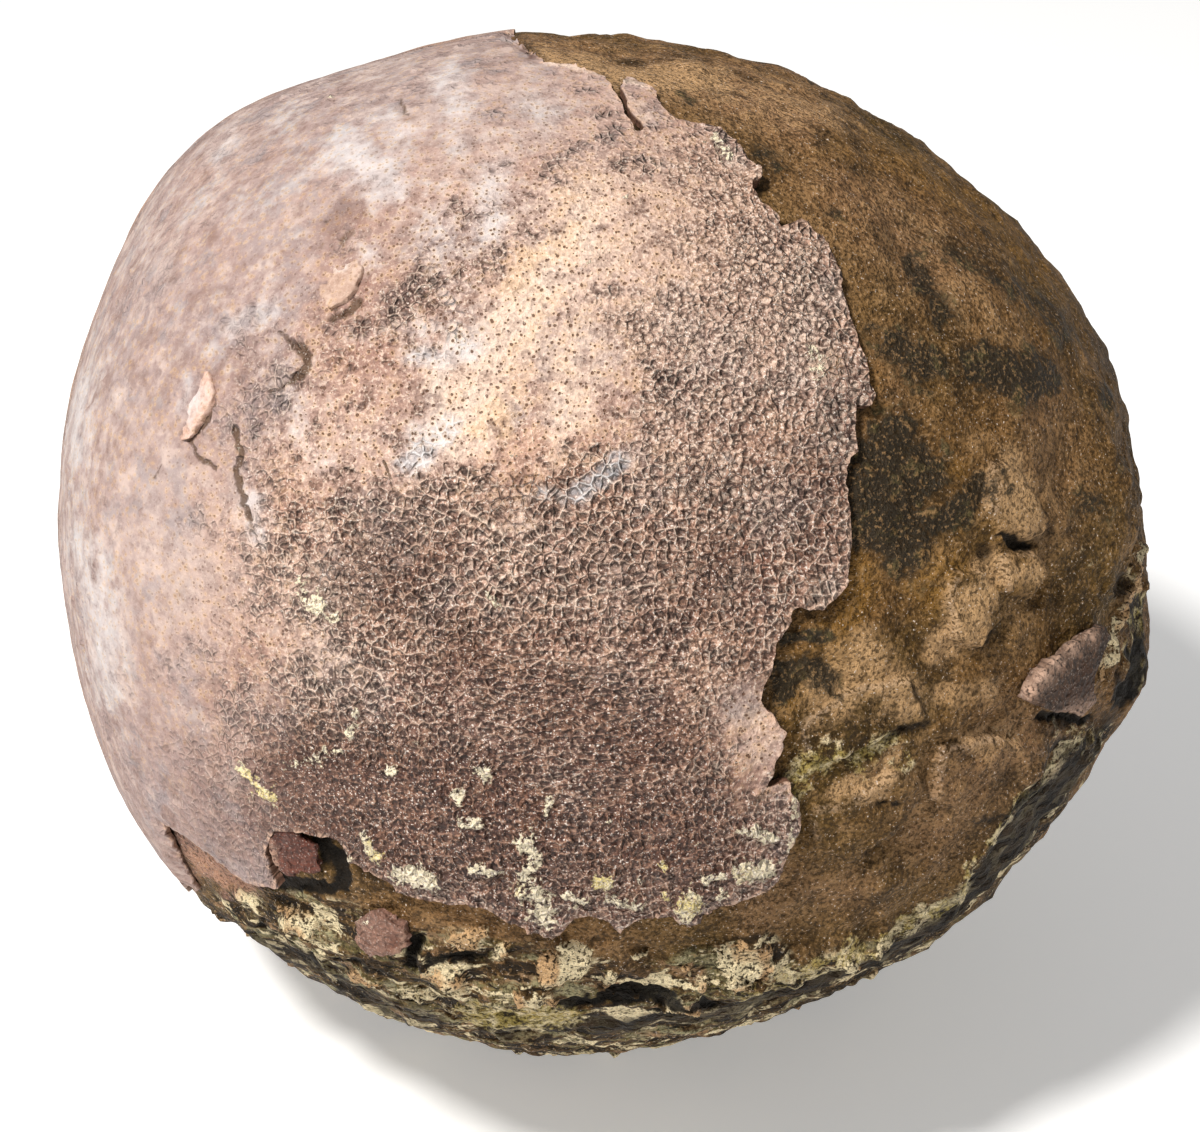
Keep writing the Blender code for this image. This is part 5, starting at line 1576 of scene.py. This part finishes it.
def close_inside(obj, cover, rim):
    """Close the sheet with a plain inner face laid between its inner rims."""
    bm = bmesh.new()
    bm.from_mesh(obj.data)
    open_edges = [e for e in bm.edges if e.is_boundary]
    ring = sorted({v for e in open_edges for v in e.verts}, key=lambda v: v.index)
    number = {v: i for i, v in enumerate(ring)}
    d = even_grid(INNER_LEVEL)[0]
    d = d[cover(d)]
    d = d[rim(d) > INNER_CLEARANCE]
    inner = d * (body_radius(d) - SHELL_THICKNESS)[:, None]
    points = np.concatenate((np.array([v.co for v in ring]), inner))
    flat = flattened(unit(points), INNER_AXIS)
    pairs = [(number[e.verts[0]], number[e.verts[1]]) for e in open_edges]
    result = geometry.delaunay_2d_cdt([Vector(p) for p in flat], pairs, [], 0, 1e-9)
    made, faces, origins = result[0], result[2], result[3]
    verts = []
    for came in origins:
        if came and came[0] < len(ring):
            verts.append(ring[came[0]])
        elif came:
            verts.append(bm.verts.new(inner[came[0] - len(ring)]))
        else:
            verts.append(None)
    # keep the triangles on the shell's side of its rims
    starts = np.array([flat[first] for first, _ in pairs])
    ends = np.array([flat[second] for _, second in pairs])
    for face in faces:
        if any(verts[i] is None for i in face):
            continue
        mid = np.mean([tuple(made[i]) for i in face], axis=0)
        crossing = (starts[:, 1] > mid[1]) != (ends[:, 1] > mid[1])
        s, e = starts[crossing], ends[crossing]
        reach = s[:, 0] + (mid[1] - s[:, 1]) * (e[:, 0] - s[:, 0]) / (e[:, 1] - s[:, 1])
        if (reach > mid[0]).sum() % 2 == 1:
            try:
                bm.faces.new([verts[i] for i in face])
            except ValueError:
                pass
    bmesh.ops.recalc_face_normals(bm, faces=bm.faces)
    bm.to_mesh(obj.data)
    bm.free()


class FOSSILEGG_OT_loose_bits(bpy.types.Operator):
    """Model the five small bits of shell from the frame's plates, with broken edges"""

    bl_idname = "fossilegg.loose_bits"
    bl_label = "Loose bits of shell"

    def execute(self, context):
        look = context.scene.fossil_egg
        for number, bit in enumerate(BITS):
            node, slot, raised_way, low, under, high, dark, light, extra = bit
            deselect()
            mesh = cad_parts[node].data.copy()
            obj = bpy.data.objects.new(node + "_dressed", mesh)
            context.scene.collection.objects.link(obj)
            mesh.materials.clear()
            pick(obj)
            bpy.ops.object.mode_set(mode="EDIT")
            bpy.ops.mesh.select_all(action="SELECT")
            bpy.ops.mesh.remove_doubles(threshold=0.00001)
            bpy.ops.object.mode_set(mode="OBJECT")
            remesh = obj.modifiers.new("even", "REMESH")
            remesh.mode = "VOXEL"
            remesh.voxel_size = LARGE_BIT_VOXEL if node == LARGE_BIT else BIT_VOXEL
            bpy.ops.object.modifier_apply(modifier=remesh.name)
            co = corners_of(mesh) / MM - CENTRE
            if node == CHIP:
                middle = co.mean(axis=0)
                co = middle + (co - middle) * CHIP_GROWTH + unit(np.array(CHIP_WAY)) * CHIP_MOVE
            d = unit(co)
            stone = node.startswith("shell_fragment")
            above = length(co) - body_radius(d)
            bottom, top = np.percentile(above, (3, 97))
            level = np.clip((above - bottom) / (top - bottom), 0, 1)
            flat = sketched(co)[0]
            middle = (flat.max(axis=0) + flat.min(axis=0)) / 2
            way = heading(raised_way, 0)[:2]
            across = (flat - middle) @ way
            across /= np.abs(across).max()
            # a crooked outline, one side raised and the other running out into what it lies on
            push = np.stack([
                0.42 * cloud(co, 2.6, seed, 2) + 0.16 * cloud(co, 0.8, seed + 1, 1)
                for seed in (131, 137, 139)
            ], axis=1)
            push *= CROOKED if node in CROOKED_BITS else 1.0
            d = unit(co + push - (push * d).sum(axis=1)[:, None] * d)
            rise = low + (high - low) * smooth(-1.0, 0.5, across)
            rise += 0.14 * cloud(co, 2.0, 151 + number, 3) + 0.06 * cloud(co, 0.7, 161 + number, 1)
            tall = body_radius(d) + (bottom if stone else 0.0) + under + (rise - under) * level
            co = d * tall[:, None]
            set_corners(mesh, (CENTRE + co) * MM)
            smoother = obj.modifiers.new("wear_and_highlight", "SMOOTH")
            smoother.factor, smoother.iterations = 0.5, 1
            bpy.ops.object.modifier_apply(modifier=smoother.name)
            flat, facing = sketched(co)
            marks = shell_marks(co, flat, facing)
            # painted shade at the foot of the raised side
            marks["dirt_and_shade"] = 0.5 * smooth(0.45, 0.1, level) * smooth(-0.3, 0.4, across)
            # worn top edges, lighter also as a painted highlight
            marks["lip_wear_and_highlight"] = smooth(0.45, 0.95, level) * smooth(0.55, 0.95, np.abs(across)) * 0.6
            marks["wall"] = smooth(0.9, 0.2, level) * 0.1
            marks["calm"] = np.full(len(co), 0.8)
            for name, spot, width, strength in extra:
                marks[name] = np.maximum(marks[name], painted(flat, facing, (((spot,), width, strength),)))
            for name, values in marks.items():
                attribute(mesh, name, values)
            add_skin(mesh, co)
            finish_piece(obj, (node,), shell_material(look, slot + "_look", (dark, light)), 60.0)
        return {"FINISHED"}


class FOSSILEGG_OT_stage(bpy.types.Operator):
    """Set the pale floor, the soft studio lights and the camera"""

    bl_idname = "fossilegg.stage"
    bl_label = "Floor, lights and camera"

    def execute(self, context):
        look = context.scene.fossil_egg
        scene = context.scene
        deselect()
        bpy.ops.mesh.primitive_plane_add(size=look.floor_size, location=(0, 0, 0))
        floor = context.active_object
        floor.name = "floor"
        floor.data.materials.append(floor_material())
        middle = Vector(CENTRE) * MM

        def lamp(name, azimuth, elevation, distance, size, power, colour):
            data = bpy.data.lights.new(name, "AREA")
            data.shape, data.size, data.energy, data.color = "DISK", size, power, colour
            obj = bpy.data.objects.new(name, data)
            scene.collection.objects.link(obj)
            obj.location = middle + Vector(heading(azimuth, elevation)) * distance
            obj.rotation_euler = (middle - obj.location).to_track_quat("-Z", "Y").to_euler()

        lamp("key", -130, 56, 1.1, 0.18, 15.0, (1.0, 0.975, 0.95))
        lamp("left_fill", -170, 25, 1.4, 0.9, 1.0, (0.9, 0.95, 1.0))
        world = bpy.data.worlds.new("studio")
        world.use_nodes = True
        background = world.node_tree.nodes["Background"].inputs
        background["Color"].default_value = (1.0, 1.0, 1.0, 1.0)
        background["Strength"].default_value = 0.27
        scene.world = world
        data = bpy.data.cameras.new("camera")
        data.lens, data.sensor_width = 85.0, 36.0
        data.shift_x, data.shift_y = 0.00125, -0.0208
        data.clip_start, data.clip_end = 0.01, 50.0
        camera = bpy.data.objects.new("camera", data)
        scene.collection.objects.link(camera)
        camera.location = Vector(CENTRE + TO_EYE * SKETCH_EYE) * MM
        camera.rotation_euler = (math.radians(90.0) - SKETCH_TILT, 0.0, 0.0)
        scene.camera = camera
        scene.view_settings.view_transform = "Standard"
        scene.view_settings.look = "None"
        return {"FINISHED"}


class FOSSILEGG_PT_panel(bpy.types.Panel):
    """Steps and settings of the fossil egg"""

    bl_idname = "FOSSILEGG_PT_panel"
    bl_label = "Fossil egg"
    bl_space_type = "VIEW_3D"
    bl_region_type = "UI"
    bl_category = "Fossil egg"

    def draw(self, context):
        look = context.scene.fossil_egg
        for name in FossilEggSettings.__annotations__:
            self.layout.prop(look, name)
        for step in STEPS:
            self.layout.operator(step.bl_idname)


STEPS = (FOSSILEGG_OT_stage, FOSSILEGG_OT_stone_core, FOSSILEGG_OT_eggshell, FOSSILEGG_OT_loose_bits)
CLASSES = (FossilEggSettings, *STEPS, FOSSILEGG_PT_panel)


def register():
    for cls in CLASSES:
        bpy.utils.register_class(cls)
    bpy.types.Scene.fossil_egg = PointerProperty(type=FossilEggSettings)


def unregister():
    del bpy.types.Scene.fossil_egg
    for cls in reversed(CLASSES):
        bpy.utils.unregister_class(cls)


def main():
    register()
    for step in (bpy.ops.fossilegg.stage, bpy.ops.fossilegg.stone_core, bpy.ops.fossilegg.eggshell,
                 bpy.ops.fossilegg.loose_bits):
        if step() != {"FINISHED"}:
            raise RuntimeError("a step of the fossil egg did not finish")
    bpy.context.view_layer.update()


if __name__ == "__main__":
    main()
